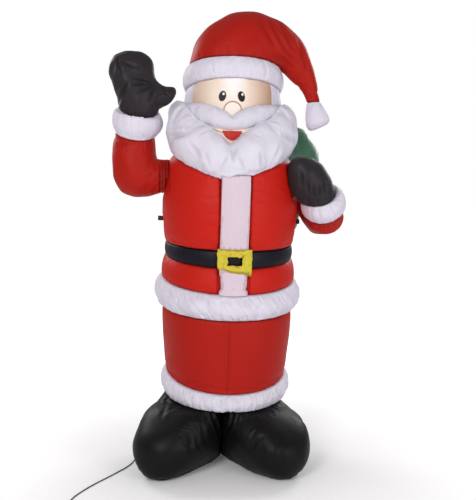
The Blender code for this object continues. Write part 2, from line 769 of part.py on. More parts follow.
def make_boots(parts, seams, colours, figure, ground):
    ankle = seams[0]
    above = lobe(
        "space_above_ankle", Seam(ankle.height - GAP, ankle.droop, 0.75),
        Seam(ankle.height + 0.5, ankle.droop, 0.75), [(0.0, 0.0), (1.0, 0.0)],
        colours["black"], figure, facets=12)
    hide_cutter(above)
    places = (
        ("left_boot", -1, LEFT_BOOT_TURN, 0.0),
        ("right_boot", 1, RIGHT_BOOT_TURN, RIGHT_BOOT_FORWARD))
    for name, side, turn, forward in places:
        boot = make_object(
            name, skin_rings(boot_rings(side, turn, forward)), colours["black"], ground)
        reach = 1.0
        other = half_space(
            "space_beside_" + name, ground,
            (BOOT_MIDDLE - side * (reach / 2 - GAP / 2), 0, 0.2), (reach, 2.0, 1.0),
            colours["black"])
        subtract(boot, other)
        subtract(boot, above)
        parts[name] = boot


def make_loop(name, side, parts, colours, figure):
    """Webbing folded into a loop and sewn to the side of the jacket."""
    jacket_radius = WAIST_RADIUS + 0.020
    steps = 5
    half = LOOP_BREADTH / 2
    straight = LOOP_REACH - half

    def outline(inset):
        radius = half - inset
        points = [(-0.012 + inset, -radius), (-0.012 + inset, radius)]
        for k in range(steps + 1):
            angle = math.pi / 2 - math.pi * k / steps
            points.append((straight + radius * math.cos(angle), radius * math.sin(angle)))
        return points

    bm = bmesh.new()
    rings = []
    for z in (-WEBBING_WIDTH / 2, WEBBING_WIDTH / 2):
        for inset in (0.0, WEBBING_THICKNESS):
            rings.append([bm.verts.new((x, y, z)) for x, y in outline(inset)])
    low_out, low_in, high_out, high_in = rings
    count = len(low_out)
    for a, b in ((low_out, high_out), (low_in, high_in), (low_out, low_in), (high_out, high_in)):
        for i in range(count):
            j = (i + 1) % count
            bm.faces.new((a[i], a[j], b[j], b[i]))
    angle = 0.0 if side > 0 else math.pi
    place = Matrix.Translation((side * jacket_radius, 0, LOOP_LEVEL)) @ Matrix.Rotation(angle, 4, "Z")
    bmesh.ops.transform(bm, matrix=place, verts=bm.verts)
    loop = make_object(name, bm, colours["webbing"], figure)
    fit_against(loop, parts["jacket"])
    parts[name] = loop


def make_blower(parts, colours, ground):
    """Fan housing behind the heels, open at the back, with its grille and lead relief."""
    back = BLOWER_BACK
    front = back - BLOWER_DEPTH
    centre = (BOOT_MIDDLE, BLOWER_RADIUS + BLOWER_CLEARANCE)
    inner = BLOWER_RADIUS - BLOWER_WALL
    profile = [
        (0.0, front), (BLOWER_RADIUS, front), (BLOWER_RADIUS, back), (inner, back),
        (inner, back - BLOWER_RECESS), (0.0, back - BLOWER_RECESS)]
    facets = 18
    bm = bmesh.new()
    verts = [bm.verts.new((x, y, 0.0)) for x, y in profile]
    edges = [bm.edges.new(pair) for pair in zip(verts, verts[1:])]
    bmesh.ops.spin(
        bm, geom=verts + edges, cent=(0, 0, 0), axis=(0, 1, 0), angle=2 * math.pi,
        steps=facets, use_merge=True, use_duplicate=False)
    bmesh.ops.remove_doubles(bm, verts=bm.verts, dist=0.00001)
    bmesh.ops.translate(bm, verts=bm.verts, vec=(centre[0], 0, centre[1]))
    housing = make_object("blower_housing", bm, colours["plastic"], ground)
    fit_against(housing, parts["left_boot"], parts["right_boot"])

    bm = bmesh.new()
    disc = inner * math.cos(math.pi / facets) - GAP
    bmesh.ops.create_cone(
        bm, cap_ends=True, cap_tris=False, segments=facets, radius1=disc, radius2=disc,
        depth=GRILLE_THICKNESS)
    place = Matrix.Translation((centre[0], back - 0.008, centre[1]))
    bmesh.ops.transform(bm, matrix=place @ Matrix.Rotation(math.pi / 2, 4, "X"), verts=bm.verts)
    grille = make_object("blower_grille", bm, colours["plastic"], ground)
    bm = bmesh.new()
    outer = disc - GRILLE_BAR_WIDTH
    for k in range(GRILLE_BARS):
        start = 2 * math.pi * k / GRILLE_BARS
        low = GRILLE_BAR_WIDTH / 2 / GRILLE_HUB
        high = GRILLE_BAR_WIDTH / 2 / outer
        turn = 2 * math.pi / GRILLE_BARS
        corners = []
        for reach, margin in ((GRILLE_HUB, low), (outer, high)):
            corners.append((reach, start + margin))
            corners.append((reach, start + turn - margin))
        ring = [corners[0], corners[2], corners[3], corners[1]]
        layers = []
        for y in (back - 0.02, back + 0.01):
            layers.append([bm.verts.new((centre[0] + r * math.cos(a), y, centre[1] + r * math.sin(a)))
                           for r, a in ring])
        for i in range(4):
            j = (i + 1) % 4
            bm.faces.new((layers[0][i], layers[0][j], layers[1][j], layers[1][i]))
        bm.faces.new(layers[0])
        bm.faces.new(list(reversed(layers[1])))
    slots = make_object("space_of_grille_slots", bm, colours["plastic"], ground)
    hide_cutter(slots)
    subtract(grille, slots)
    parts.update(blower_housing=housing, blower_grille=grille)


def relief_place():
    """Where the lead leaves the blower: side of the drum, low on the viewer's left."""
    drop = 0.055
    z = BLOWER_RADIUS + BLOWER_CLEARANCE - drop
    side = math.sqrt(BLOWER_RADIUS ** 2 - drop ** 2)
    return Vector((BOOT_MIDDLE - side, BLOWER_BACK - 0.065, z))


def cord_route():
    """Hand-chosen points of the lead, from the strain relief to the coil, on the ground."""
    floor = CORD_DIAMETER / 2 + CORD_LIFT
    start = relief_place() - Vector((RELIEF_LENGTH + GAP, 0, 0))
    x, y, z = start
    coil_x, coil_y = COIL_CENTRE
    return [
        Vector((x, y, z)),
        Vector((x - 0.020, y, z - 0.001)),
        Vector((x - 0.050, y - 0.002, z - 0.012)),
        Vector((x - 0.085, y - 0.010, floor + 0.002)),
        Vector((-0.300, 0.255, floor)),
        Vector((-0.380, 0.205, floor)),
        Vector((-0.450, 0.125, floor)),
        Vector((-0.498, 0.020, floor)),
        Vector((-0.526, -0.090, floor)),
        Vector((-0.556, -0.160, floor)),
        Vector((-0.592, -0.218, floor)),
        Vector((-0.643, -0.296, floor)),
        Vector((-0.696, -0.372, floor)),
        Vector((-0.742, -0.448, floor)),
        Vector((-0.782, -0.529, floor)),
        Vector((coil_x + COIL_RADIUS + 0.003, coil_y + 0.055, floor)),
        Vector((coil_x + COIL_RADIUS, coil_y + COIL_LEAD_IN + GAP, floor)),
    ]


def route_length(points):
    return sum((b - a).length for a, b in zip(points, points[1:]))


def make_cord(parts, colours, ground):
    relief_at = relief_place()
    bm = bmesh.new()
    bmesh.ops.create_cone(
        bm, cap_ends=True, segments=12, radius1=RELIEF_RADIUS, radius2=RELIEF_TIP_RADIUS,
        depth=RELIEF_LENGTH + 0.02)
    place = Matrix.Translation(relief_at - Vector((RELIEF_LENGTH / 2 - 0.01, 0, 0)))
    bmesh.ops.transform(bm, matrix=place @ Matrix.Rotation(-math.pi / 2, 4, "Y"), verts=bm.verts)
    relief = make_object("strain_relief", bm, colours["plastic"], ground)
    fit_against(relief, parts["blower_housing"])

    make_tube("cord", cord_route(), CORD_STEP, parts, colours, ground)
    make_coil(parts, colours, ground)
    make_plug(parts, colours, ground)


def make_tube(name, route, step, parts, colours, ground):
    """Plain tube of the lead along a smooth curve through the points of its route."""
    rough = [Vector(point) for point in smooth_row([tuple(point) for point in route], 12)]
    points = even_points(rough, round(route_length(rough) / step))
    curve = bpy.data.curves.new(name, "CURVE")
    curve.dimensions = "3D"
    curve.bevel_depth = CORD_DIAMETER / 2
    curve.bevel_resolution = 2
    curve.use_fill_caps = True
    spline = curve.splines.new("POLY")
    spline.points.add(len(points) - 1)
    for spot, point in zip(spline.points, points):
        spot.co = (*point, 1.0)
    curve.materials.append(colours["plastic"])
    obj = bpy.data.objects.new(name, curve)
    obj.parent = ground
    bpy.context.scene.collection.objects.link(obj)
    parts[name] = obj


def tail_route():
    """Short end of the lead, from the coil to the back of the plug."""
    floor = CORD_DIAMETER / 2 + CORD_LIFT
    coil_x, coil_y = COIL_CENTRE
    start = coil_x - COIL_LEAD_IN - GAP
    y = coil_y - COIL_RADIUS
    return [
        Vector((start, y, floor)),
        Vector((start - TAIL_LENGTH * 0.30, y, floor)),
        Vector((start - TAIL_LENGTH * 0.85, y, PLUG_RADIUS)),
        Vector((start - TAIL_LENGTH, y, PLUG_RADIUS)),
    ]


def make_coil(parts, colours, ground):
    """Outer shape of the wound lead, with a slot where each end of it leaves the turns."""
    half_width = COIL_WIDTH / 2
    bevel = 0.004
    corners = []
    for sx, sz in ((1, -1), (1, 1), (-1, 1), (-1, -1)):
        short = (sx * (half_width - bevel), sz)
        tall = (sx * half_width, sz)
        corners.extend([(short, True), (tall, False)] if sx * sz < 0 else [(tall, False), (short, True)])
    floor = CORD_LIFT
    bm = bmesh.new()
    verts = []
    for (x, sz), edge in corners:
        z = COIL_HEIGHT / 2 + sz * (COIL_HEIGHT / 2 - (0.0 if edge else bevel))
        verts.append(bm.verts.new((COIL_RADIUS + x, 0, z + floor)))
    edges = [bm.edges.new((a, b)) for a, b in zip(verts, verts[1:] + verts[:1])]
    bmesh.ops.spin(
        bm, geom=verts + edges, cent=(0, 0, 0), axis=(0, 0, 1), angle=2 * math.pi, steps=20,
        use_merge=True, use_duplicate=False)
    coil_x, coil_y = COIL_CENTRE
    bmesh.ops.translate(bm, verts=bm.verts, vec=(coil_x, coil_y, 0))
    coil = make_object("cord_coil", bm, colours["plastic"], ground)
    slot = CORD_DIAMETER + 2 * CORD_LIFT
    reach = 0.06
    lead_in = half_space(
        "space_of_lead_in", ground,
        (coil_x + COIL_RADIUS, coil_y + COIL_LEAD_IN + reach / 2, 0.0),
        (slot, reach, 2 * (slot + floor)), colours["plastic"])
    lead_out = half_space(
        "space_of_lead_out", ground,
        (coil_x - COIL_LEAD_IN - reach / 2, coil_y - COIL_RADIUS, 0.0),
        (reach, slot, 2 * (slot + floor)), colours["plastic"])
    subtract(coil, lead_in)
    subtract(coil, lead_out)
    parts["cord_coil"] = coil


def make_plug(parts, colours, ground):
    """Plain two-pin mains plug lying beside the coil."""
    make_tube("cord_tail", tail_route(), TAIL_STEP, parts, colours, ground)
    back = tail_route()[-1] - Vector((GAP, 0, 0))
    bm = bmesh.new()
    bmesh.ops.create_cone(
        bm, cap_ends=True, segments=10, radius1=PLUG_RADIUS - CORD_LIFT, radius2=PLUG_RADIUS * 0.5,
        depth=PLUG_LENGTH)
    place = Matrix.Translation(back - Vector((PLUG_LENGTH / 2, 0, 0)))
    bmesh.ops.transform(bm, matrix=place @ Matrix.Rotation(math.pi / 2, 4, "Y"), verts=bm.verts)
    plug = make_object("plug", bm, colours["plastic"], ground)
    for side in (-1, 1):
        bm = bmesh.new()
        bmesh.ops.create_cone(
            bm, cap_ends=True, segments=8, radius1=PIN_RADIUS, radius2=PIN_RADIUS,
            depth=2 * PIN_LENGTH)
        centre = back + Vector((-PLUG_LENGTH, side * PIN_SPACING / 2, 0))
        place = Matrix.Translation(centre) @ Matrix.Rotation(math.pi / 2, 4, "Y")
        bmesh.ops.transform(bm, matrix=place, verts=bm.verts)
        pin = make_object("space_of_pin", bm, colours["plastic"], ground)
        hide_cutter(pin)
        join = plug.modifiers.new("pin", "BOOLEAN")
        join.operation = "UNION"
        join.object = pin
    parts["plug"] = plug


def even_points(points, count):
    """The same curve with its points evenly spaced."""
    total = route_length(points)
    result = [points[0]]
    travelled = 0.0
    target = total / count
    for a, b in zip(points, points[1:]):
        span = (b - a).length
        while travelled + span >= target * len(result) and len(result) < count:
            share = (target * len(result) - travelled) / span
            result.append(a.lerp(b, share))
        travelled += span
    result.append(points[-1])
    return result


def main():
    clear_scene()
    colours = {
        "red": make_material("red taffeta", (0.50, 0.018, 0.012), 0.45),
        "trim": make_material("white plush taffeta", (0.78, 0.74, 0.80), 0.6),
        "hair": make_material("white taffeta", (0.78, 0.74, 0.80), 0.6),
        "beard": make_material("beard taffeta", (0.74, 0.71, 0.78), 0.6),
        "moustache": make_material("moustache taffeta", (0.70, 0.68, 0.72), 0.6),
        "skin": make_material("skin taffeta", (0.80, 0.60, 0.46), 0.6),
        "placket": make_material("placket taffeta", (0.78, 0.66, 0.74), 0.6),
        "black": make_material("black taffeta", (0.006, 0.006, 0.006), 0.35),
        "green": make_material("green satin", (0.08, 0.24, 0.14), 0.35),
        "yellow": make_material("yellow taffeta", (0.80, 0.62, 0.12), 0.45),
        "webbing": make_material("dark webbing", (0.05, 0.012, 0.012), 0.7),
        "plastic": make_material("black plastic", (0.012, 0.012, 0.013), 0.45),
    }
    ground = make_empty("ground", (AXIS_X, AXIS_Y, 0), (0, 0, 0))
    figure = make_empty("figure_axis", (FOOT_SHIFT, 0, 0), (0, LEAN, 0), ground)
    turned = make_empty("head_axis", (0, 0, 0), (0, 0, HEAD_TURN), figure)
    seams = body_seams()
    parts = make_body(seams, colours, figure)
    make_front(parts, seams, colours, figure)
    make_face(parts, colours, turned)
    make_hat(parts, seams[-1], colours, figure)
    make_raised_arm(parts, colours, figure)
    make_lowered_arm(parts, colours, figure)
    make_sack(parts, colours, figure)
    make_boots(parts, seams, colours, figure, ground)
    make_loop("left_tether_loop", -1, parts, colours, figure)
    make_loop("right_tether_loop", 1, parts, colours, figure)
    make_blower(parts, colours, ground)
    make_cord(parts, colours, ground)


main()
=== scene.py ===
import math
import random

import bmesh
import bpy
import numpy as np
from mathutils import Matrix, Vector
from mathutils.bvhtree import BVHTree
from mathutils.kdtree import KDTree


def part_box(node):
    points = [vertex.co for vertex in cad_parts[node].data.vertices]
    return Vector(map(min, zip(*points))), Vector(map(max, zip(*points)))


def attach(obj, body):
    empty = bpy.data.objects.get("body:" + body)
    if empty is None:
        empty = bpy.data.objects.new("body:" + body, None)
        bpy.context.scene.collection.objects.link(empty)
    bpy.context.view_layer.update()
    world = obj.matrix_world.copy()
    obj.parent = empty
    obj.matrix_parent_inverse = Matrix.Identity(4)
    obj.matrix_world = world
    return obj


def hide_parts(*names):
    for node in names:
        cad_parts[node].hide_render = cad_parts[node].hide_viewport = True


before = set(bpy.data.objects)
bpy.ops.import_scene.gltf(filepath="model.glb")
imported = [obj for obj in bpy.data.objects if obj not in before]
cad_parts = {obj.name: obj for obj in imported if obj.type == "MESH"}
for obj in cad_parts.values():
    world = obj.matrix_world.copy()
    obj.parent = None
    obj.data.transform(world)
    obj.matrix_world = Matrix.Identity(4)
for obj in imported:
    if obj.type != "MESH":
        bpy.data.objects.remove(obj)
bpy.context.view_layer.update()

bl_info = {
    "name": "Inflatable Santa",
    "version": (1, 0, 0),
    "blender": (4, 5, 0),
    "location": "3D View > Sidebar > Santa",
    "description": "Sewn fabric, printed face, blower and mains lead of a garden figure kept up by air",
    "category": "Object",
}

UP = Vector((0, 0, 1))

# Solids: points closer than this are one, and how deep and many-sided the lobes on the axis are
MERGE = 0.00001
BODY_DEPTH = 0.97
BODY_FACETS = 28
TRIM_FACETS = 36

# Mesh spacing that a flat pad counts as, and the share of its fine mesh that a lobe keeps
PAD_GRAIN = 0.006
KEPT_SHARE = 0.5

# Air works on all lobes of a group for this many frames
AIR_FRAMES = 20

# The front band lies on the jacket, which is drawn in this far behind it
BAND_HALF_WIDTH = 0.075
BAND_EDGE = 0.014
TUCK = 0.014

# The figure stands a little askew: its axis leans, and its head is turned
LEAN = math.radians(1.7)
FOOT_SHIFT = -0.034
HEAD_TURN = math.radians(-6.0)
FIGURE = Matrix.Translation((FOOT_SHIFT, 0, 0)) @ Matrix.Rotation(LEAN, 4, "Y")
HEAD = FIGURE @ Matrix.Rotation(HEAD_TURN, 4, "Z")

# Mains lead, with the route that the solid follows
LEAD_LIFT = 0.0003
LEAD_ROUTE = [
    (-0.145, 0.270, 0.032),
    (-0.165, 0.270, 0.031),
    (-0.195, 0.268, 0.020),
    (-0.230, 0.260, 0.0053),
    (-0.300, 0.255, 0.0033),
    (-0.380, 0.205, 0.0033),
    (-0.450, 0.125, 0.0033),
    (-0.498, 0.020, 0.0033),
    (-0.526, -0.090, 0.0033),
    (-0.556, -0.160, 0.0033),
    (-0.592, -0.218, 0.0033),
    (-0.643, -0.296, 0.0033),
    (-0.696, -0.372, 0.0033),
    (-0.742, -0.448, 0.0033),
    (-0.782, -0.529, 0.0033),
    (-0.802, -0.597, 0.0033),
]
COIL_CENTRE = Vector((-0.838, -0.652, 0.0))
COIL_INNER = 0.0295
COIL_OUTER = 0.0365
PLUG_GRIP = 0.046
PLUG_RADIUS = 0.0137
PIN_OFFSET = 0.007

# Circle of the screw heads round the blower's intake
SCREW_CIRCLE = 0.068

# Camera as in the photograph, and lamps as name, place, size, power and tint
CAMERA_PLACE = Vector((-0.366, -4.184, 1.450))
CAMERA_AIM = Vector((0.052, 0.0, 1.135))
CAMERA_LENS = 55.8
LAMPS = (
    ("key", (-1.9, -4.2, 2.9), 1.8, 92.0, (1.0, 0.985, 0.97)),
    ("fill", (2.6, -3.9, 1.7), 2.2, 56.0, (0.97, 0.98, 1.0)),
    ("back left", (-3.0, 3.2, 3.4), 2.4, 85.0, (1.0, 1.0, 1.0)),
    ("back right", (3.0, 3.0, 3.0), 2.4, 85.0, (1.0, 1.0, 1.0)),
)
LAMP_AIM = Vector((0, 0, 1.1))
WALL_LIGHT = 0.36

# Printed face, as places (across, up) on the figure before it leans
MIDLINE = -0.02
NOSE = (-0.021, 1.861)
EYES = (((-0.074, 1.931), -0.12), ((0.021, 1.931), 0.12))
SMILE = (-0.018, 1.934)
SMILE_RADIUS = 0.197
LIP_TOP = 1.755

# Folds as (x, z) of both ends seen from the front, width and depth
SHOULDER_FOLDS = ((-0.352, 1.60), (-0.342, 1.58), (-0.361, 1.57), (-0.333, 1.595))
SLEEVE_ROOT_FOLDS = ((-0.352, 1.61), (-0.342, 1.60), (-0.366, 1.60), (-0.378, 1.585))
BEARD_FOLDS = (
    ((-0.345, 1.715), (-0.255, 1.735), 0.014, 0.012),
    ((0.300, 1.715), (0.250, 1.750), 0.013, 0.010),
    ((-0.022, 1.665), (-0.024, 1.590), 0.010, 0.007),
    ((-0.055, 1.625), (-0.085, 1.560), 0.008, 0.0035),
    ((0.015, 1.620), (0.040, 1.550), 0.008, 0.0035),
    ((-0.160, 1.640), (-0.130, 1.570), 0.009, 0.0035),
    ((0.110, 1.650), (0.125, 1.580), 0.009, 0.0035),
    ((-0.235, 1.690), (-0.190, 1.620), 0.009, 0.004),
    ((0.215, 1.690), (0.190, 1.620), 0.009, 0.004),
)
HAT_FOLDS = (
    ((0.12, 2.32), (0.20, 2.20), 0.016, 0.005),
    ((0.16, 2.34), (0.26, 2.19), 0.014, 0.006),
    ((0.21, 2.34), (0.30, 2.20), 0.014, 0.005),
    ((0.20, 2.17), (0.30, 2.12), 0.012, 0.005),
    ((0.25, 2.20), (0.34, 2.13), 0.011, 0.005),
    ((0.33, 2.25), (0.39, 2.10), 0.012, 0.004),
)
RAISED_MITTEN_FOLDS = (
    ((-0.425, 2.000), (-0.520, 2.020), 0.007, 0.006),
    ((-0.425, 1.992), (-0.530, 1.985), 0.007, 0.006),
    ((-0.425, 1.984), (-0.505, 1.945), 0.008, 0.006),
    ((-0.415, 1.975), (-0.440, 1.900), 0.008, 0.005),
    ((-0.375, 1.975), (-0.340, 1.925), 0.006, 0.004),
    ((-0.400, 1.935), (-0.350, 1.955), 0.006, 0.004),
    ((-0.610, 2.120), (-0.590, 2.030), 0.008, 0.004),
    ((-0.575, 2.090), (-0.490, 2.070), 0.010, 0.003),
    ((-0.560, 1.990), (-0.590, 1.910), 0.010, 0.004),
)
ELBOW_FOLDS = (
    ((-0.560, 1.480), (-0.470, 1.440), 0.010, 0.002),
    ((-0.590, 1.520), (-0.540, 1.470), 0.010, 0.002),
    ((-0.440, 1.500), (-0.400, 1.560), 0.010, 0.002),
    ((-0.470, 1.450), (-0.410, 1.470), 0.010, 0.002),
)
LOWERED_MITTEN_FOLDS = (
    ((0.385, 1.455), (0.365, 1.520), 0.008, 0.005),
    ((0.410, 1.440), (0.400, 1.500), 0.008, 0.005),
    ((0.440, 1.440), (0.440, 1.490), 0.008, 0.005),
    ((0.470, 1.470), (0.460, 1.530), 0.008, 0.005),
    ((0.345, 1.500), (0.335, 1.560), 0.008, 0.005),
)
BOOT_FOLDS = {
    "left_boot": (
        ((-0.100, 0.350), (-0.034, 0.165), 0.007, 0.007),
        ((-0.072, 0.300), (-0.036, 0.180), 0.006, 0.004),
        ((-0.150, 0.290), (-0.110, 0.150), 0.012, 0.003),
        ((-0.330, 0.390), (-0.355, 0.325), 0.008, 0.008),
        ((-0.300, 0.370), (-0.345, 0.300), 0.010, 0.006),
        ((-0.200, 0.240), (-0.180, 0.110), 0.014, 0.003),
        ((-0.150, 0.210), (-0.140, 0.100), 0.014, 0.003)),
    "right_boot": (
        ((0.036, 0.350), (-0.012, 0.200), 0.007, 0.006),
        ((0.006, 0.350), (-0.014, 0.230), 0.005, 0.004),
        ((0.345, 0.380), (0.375, 0.310), 0.008, 0.008),
        ((0.310, 0.365), (0.365, 0.290), 0.010, 0.006),
        ((0.150, 0.220), (0.170, 0.110), 0.014, 0.0015),
        ((0.240, 0.230), (0.250, 0.120), 0.014, 0.003)),
}


class SantaSizes(bpy.types.PropertyGroup):
    """Sizes that a maker would change"""

    lead_diameter: bpy.props.FloatProperty(
        name="Lead diameter", description="Thickness of the mains lead", default=0.006, unit="LENGTH")
    body_grain: bpy.props.FloatProperty(
        name="Body grain", description="Mesh spacing of the large lobes before they fill",
        default=0.012, unit="LENGTH")
    limb_grain: bpy.props.FloatProperty(
        name="Limb grain", description="Mesh spacing of limbs and trims before they fill",
        default=0.009, unit="LENGTH")
    small_grain: bpy.props.FloatProperty(
        name="Small grain", description="Mesh spacing of the small face pieces before they fill",
        default=0.006, unit="LENGTH")
    air: bpy.props.FloatProperty(
        name="Air", description="Pressure of the blower's air inside each lobe", default=4.0)
    gather_depth: bpy.props.FloatProperty(
        name="Gather depth", description="Depth of the small gathers beside the white trims' seams",
        default=0.0045, unit="LENGTH")
    weave: bpy.props.FloatProperty(
        name="Weave", description="Spacing of the taffeta's threads", default=0.0012, unit="LENGTH")


class SantaColours(bpy.types.PropertyGroup):
    """Colours of the fabrics and plastics"""

    red: bpy.props.FloatVectorProperty(
        name="Red", description="Jacket, hat and trousers", default=(0.56, 0.012, 0.005),
        subtype="COLOR")
    trim: bpy.props.FloatVectorProperty(
        name="Trim", description="White bands and cuffs", default=(0.76, 0.715, 0.82),
        subtype="COLOR")
    beard: bpy.props.FloatVectorProperty(
        name="Beard", description="Beard, moustache and hair", default=(0.75, 0.715, 0.81),
        subtype="COLOR")
    skin: bpy.props.FloatVectorProperty(
        name="Skin", description="Face panel", default=(0.90, 0.74, 0.62), subtype="COLOR")
    placket: bpy.props.FloatVectorProperty(
        name="Placket", description="White band down the front", default=(0.71, 0.58, 0.665),
        subtype="COLOR")
    black: bpy.props.FloatVectorProperty(
        name="Black", description="Boots and belt", default=(0.0045, 0.0043, 0.0046),
        subtype="COLOR")
    glove: bpy.props.FloatVectorProperty(
        name="Glove", description="Mittens", default=(0.027, 0.0215, 0.0255), subtype="COLOR")
    gold: bpy.props.FloatVectorProperty(
        name="Buckle", description="Buckle pad", default=(0.68, 0.57, 0.05), subtype="COLOR")
    green: bpy.props.FloatVectorProperty(
        name="Sack", description="Satin of the sack", default=(0.030, 0.122, 0.062),
        subtype="COLOR")
    plastic: bpy.props.FloatVectorProperty(
        name="Plastic", description="Blower, lead and plug", default=(0.012, 0.012, 0.013),
        subtype="COLOR")


def sizes():
    return bpy.context.scene.santa_sizes


def colours():
    return bpy.context.scene.santa_colours


# Selecting and copying

def pick(piece):
    bpy.ops.object.select_all(action="DESELECT")
    piece.select_set(True)
    bpy.context.view_layer.objects.active = piece


def node_copy(node, name):
    """The node's solid as a new object, with its loose triangles merged."""
    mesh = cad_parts[node].data.copy()
    mesh.materials.clear()
    piece = bpy.data.objects.new(name, mesh)
    bpy.context.scene.collection.objects.link(piece)
    pick(piece)
    bpy.ops.object.mode_set(mode="EDIT")
    bpy.ops.mesh.select_all(action="SELECT")
    bpy.ops.mesh.remove_doubles(threshold=MERGE)
    bpy.ops.object.mode_set(mode="OBJECT")
    return piece


def apply_modifiers(piece):
    pick(piece)
    for modifier in list(piece.modifiers):
        bpy.ops.object.modifier_apply(modifier=modifier.name)


def finish_piece(piece, material, nodes=()):
    piece.data.materials.clear()
    piece.data.materials.append(material)
    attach(piece, "root")
    if nodes:
        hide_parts(*nodes)


def read_points(piece):
    points = np.empty(len(piece.data.vertices) * 3)
    piece.data.vertices.foreach_get("co", points)
    return points.reshape(-1, 3)


def write_points(piece, points):
    piece.data.vertices.foreach_set("co", points.ravel())
    piece.data.update()


def read_normals(piece):
    normals = np.empty(len(piece.data.vertices) * 3, np.float32)
    piece.data.vertex_normals.foreach_get("vector", normals)
    return normals.reshape(-1, 3).astype(float)


def read_value(piece, name):
    values = np.zeros(len(piece.data.vertices), np.float32)
    if name in piece.data.attributes:
        piece.data.attributes[name].data.foreach_get("value", values)
    return values.astype(float)


def write_value(piece, name, values):
    attributes = piece.data.attributes
    attribute = attributes.get(name) or attributes.new(name, "FLOAT", "POINT")
    attribute.data.foreach_set("value", np.asarray(values, np.float32))


# Lobes filled with air

TREES = {}


def node_tree_of(node):
    if node not in TREES:
        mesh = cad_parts[node].data
        TREES[node] = BVHTree.FromPolygons(
            [vert.co.copy() for vert in mesh.vertices],
            [tuple(face.vertices) for face in mesh.polygons])
    return TREES[node]


def near_nodes(node, reach):
    low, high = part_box(node)
    found = []
    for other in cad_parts:
        other_low, other_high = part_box(other)
        apart = any(
            low[i] - reach > other_high[i] or other_low[i] - reach > high[i] for i in range(3))
        if other != node and not apart and other not in ("cord", "cord_tail", "cord_coil"):
            found.append(other)
    return found


class Lobe:
    """One sewn lobe: the node that it stands for, and how it is cut, filled and gathered."""

    def __init__(self, node, grain, swell, slack, material, slot, smooth, facets):
        self.node = node
        self.grain = grain
        self.swell = swell
        self.slack = slack
        self.material = material
        self.slot = slot
        self.smooth = smooth
        self.facets = facets
        self.piece = None


def even_mesh(piece, lobe):
    """Even mesh over the solid; a pad without a grain keeps its crisp edges."""
    if lobe.grain is None:
        split = piece.modifiers.new("split", "SUBSURF")
        split.subdivision_type = "SIMPLE"
        split.levels = 2
        split.render_levels = 2
        apply_modifiers(piece)
        return PAD_GRAIN
    piece.data.remesh_voxel_size = lobe.grain
    bpy.ops.object.voxel_remesh()
    soften = piece.modifiers.new("soften", "SMOOTH")
    soften.factor = 0.5
    soften.iterations = 4
    apply_modifiers(piece)
    return lobe.grain


def sewn_points(piece, lobe, grain):
    """Which points lie on a seam, a neighbour or the floor."""
    reach = 0.8 * grain
    trees = [node_tree_of(other) for other in near_nodes(lobe.node, reach)]
    floor = 0.5 * grain
    sewn = []
    for vert in piece.data.vertices:
        held = vert.co.z < floor
        held = held or any(tree.find_nearest(vert.co, reach)[0] is not None for tree in trees)
        sewn.append(held)
    return sewn


def distance_from(piece, sewn):
    """How far each point lies from the nearest seam's edge, and nothing on the seam itself."""
    rim = set()
    for edge in piece.data.edges:
        a, b = edge.vertices
        if sewn[a] != sewn[b]:
            rim.add(a if sewn[a] else b)
    tree = KDTree(max(len(rim), 1))
    for index in rim:
        tree.insert(piece.data.vertices[index].co, index)
    if not rim:
        tree.insert((0, 0, -10), 0)
    tree.balance()
    return [
        0.0 if held else tree.find(vert.co)[2] for vert, held in zip(piece.data.vertices, sewn)]


def start_lobe(lobe):
    """Smooth even mesh that is still held at its seams."""
    piece = node_copy(lobe.node, lobe.node + "_fabric")
    grain = even_mesh(piece, lobe)
    if lobe.facets:
        round_facets(piece, lobe.facets)
    sewn = sewn_points(piece, lobe, grain)
    away = distance_from(piece, sewn)
    write_value(piece, "away", away)
    free = piece.vertex_groups.new(name="free")
    for i, gap in enumerate(away):
        if gap > 0:
            free.add([i], min(gap / (3 * grain), 1.0), "REPLACE")
    relax = piece.modifiers.new("relax", "SMOOTH")
    relax.factor = 0.5
    relax.iterations = lobe.smooth
    relax.vertex_group = "free"
    apply_modifiers(piece)
    piece.vertex_groups.clear()
    group = piece.vertex_groups.new(name="sewn")
    group.add([i for i, held in enumerate(sewn) if held], 1.0, "REPLACE")
    lobe.piece = piece


def round_facets(piece, count):
    """Turns the many-sided lobe on the body's axis into a round one of the same reach."""
    half = math.pi / count
    back = FIGURE.inverted()
    for vert in piece.data.vertices:
        spot = back @ vert.co
        turn = math.atan2(spot.y / BODY_DEPTH, spot.x)
        offset = (turn % (2 * half)) - half
        grow = math.cos(offset) / math.cos(half)
        spot.x *= grow
        spot.y *= grow
        vert.co = FIGURE @ spot


def fill_lobes(lobes):
    """Presses the lobes out with air, all at once, and keeps how each mesh has moved."""
    for lobe in lobes:
        cloth = lobe.piece.modifiers.new("air", "CLOTH")
        cloth.settings.vertex_group_mass = "sewn"
        cloth.settings.use_pressure = True
        cloth.settings.uniform_pressure_force = sizes().air
        cloth.settings.effector_weights.gravity = 0.0
        cloth.settings.quality = 3
        cloth.settings.shrink_min = -lobe.slack
        cloth.settings.tension_stiffness = 30
        cloth.settings.compression_stiffness = 30
        cloth.settings.bending_stiffness = 0.3
        cloth.collision_settings.use_collision = False
        cloth.point_cache.frame_end = AIR_FRAMES
    for step in range(1, AIR_FRAMES + 1):
        bpy.context.scene.frame_set(step)
    for lobe in lobes:
        before = read_points(lobe.piece)
        apply_modifiers(lobe.piece)
        moves = read_points(lobe.piece) - before
        length = np.linalg.norm(moves, axis=1, keepdims=True)
        kept = lobe.swell * np.tanh(length / lobe.swell)
        write_points(lobe.piece, before + moves * kept / np.maximum(length, 1e-9))
        lobe.piece.vertex_groups.clear()
    bpy.context.scene.frame_set(1)


def refine_lobe(lobe):
    piece = lobe.piece
    finer = piece.modifiers.new("finer", "SUBSURF")
    finer.levels = 1
    finer.render_levels = 1
    apply_modifiers(piece)
    pick(piece)
    bpy.ops.object.shade_smooth()


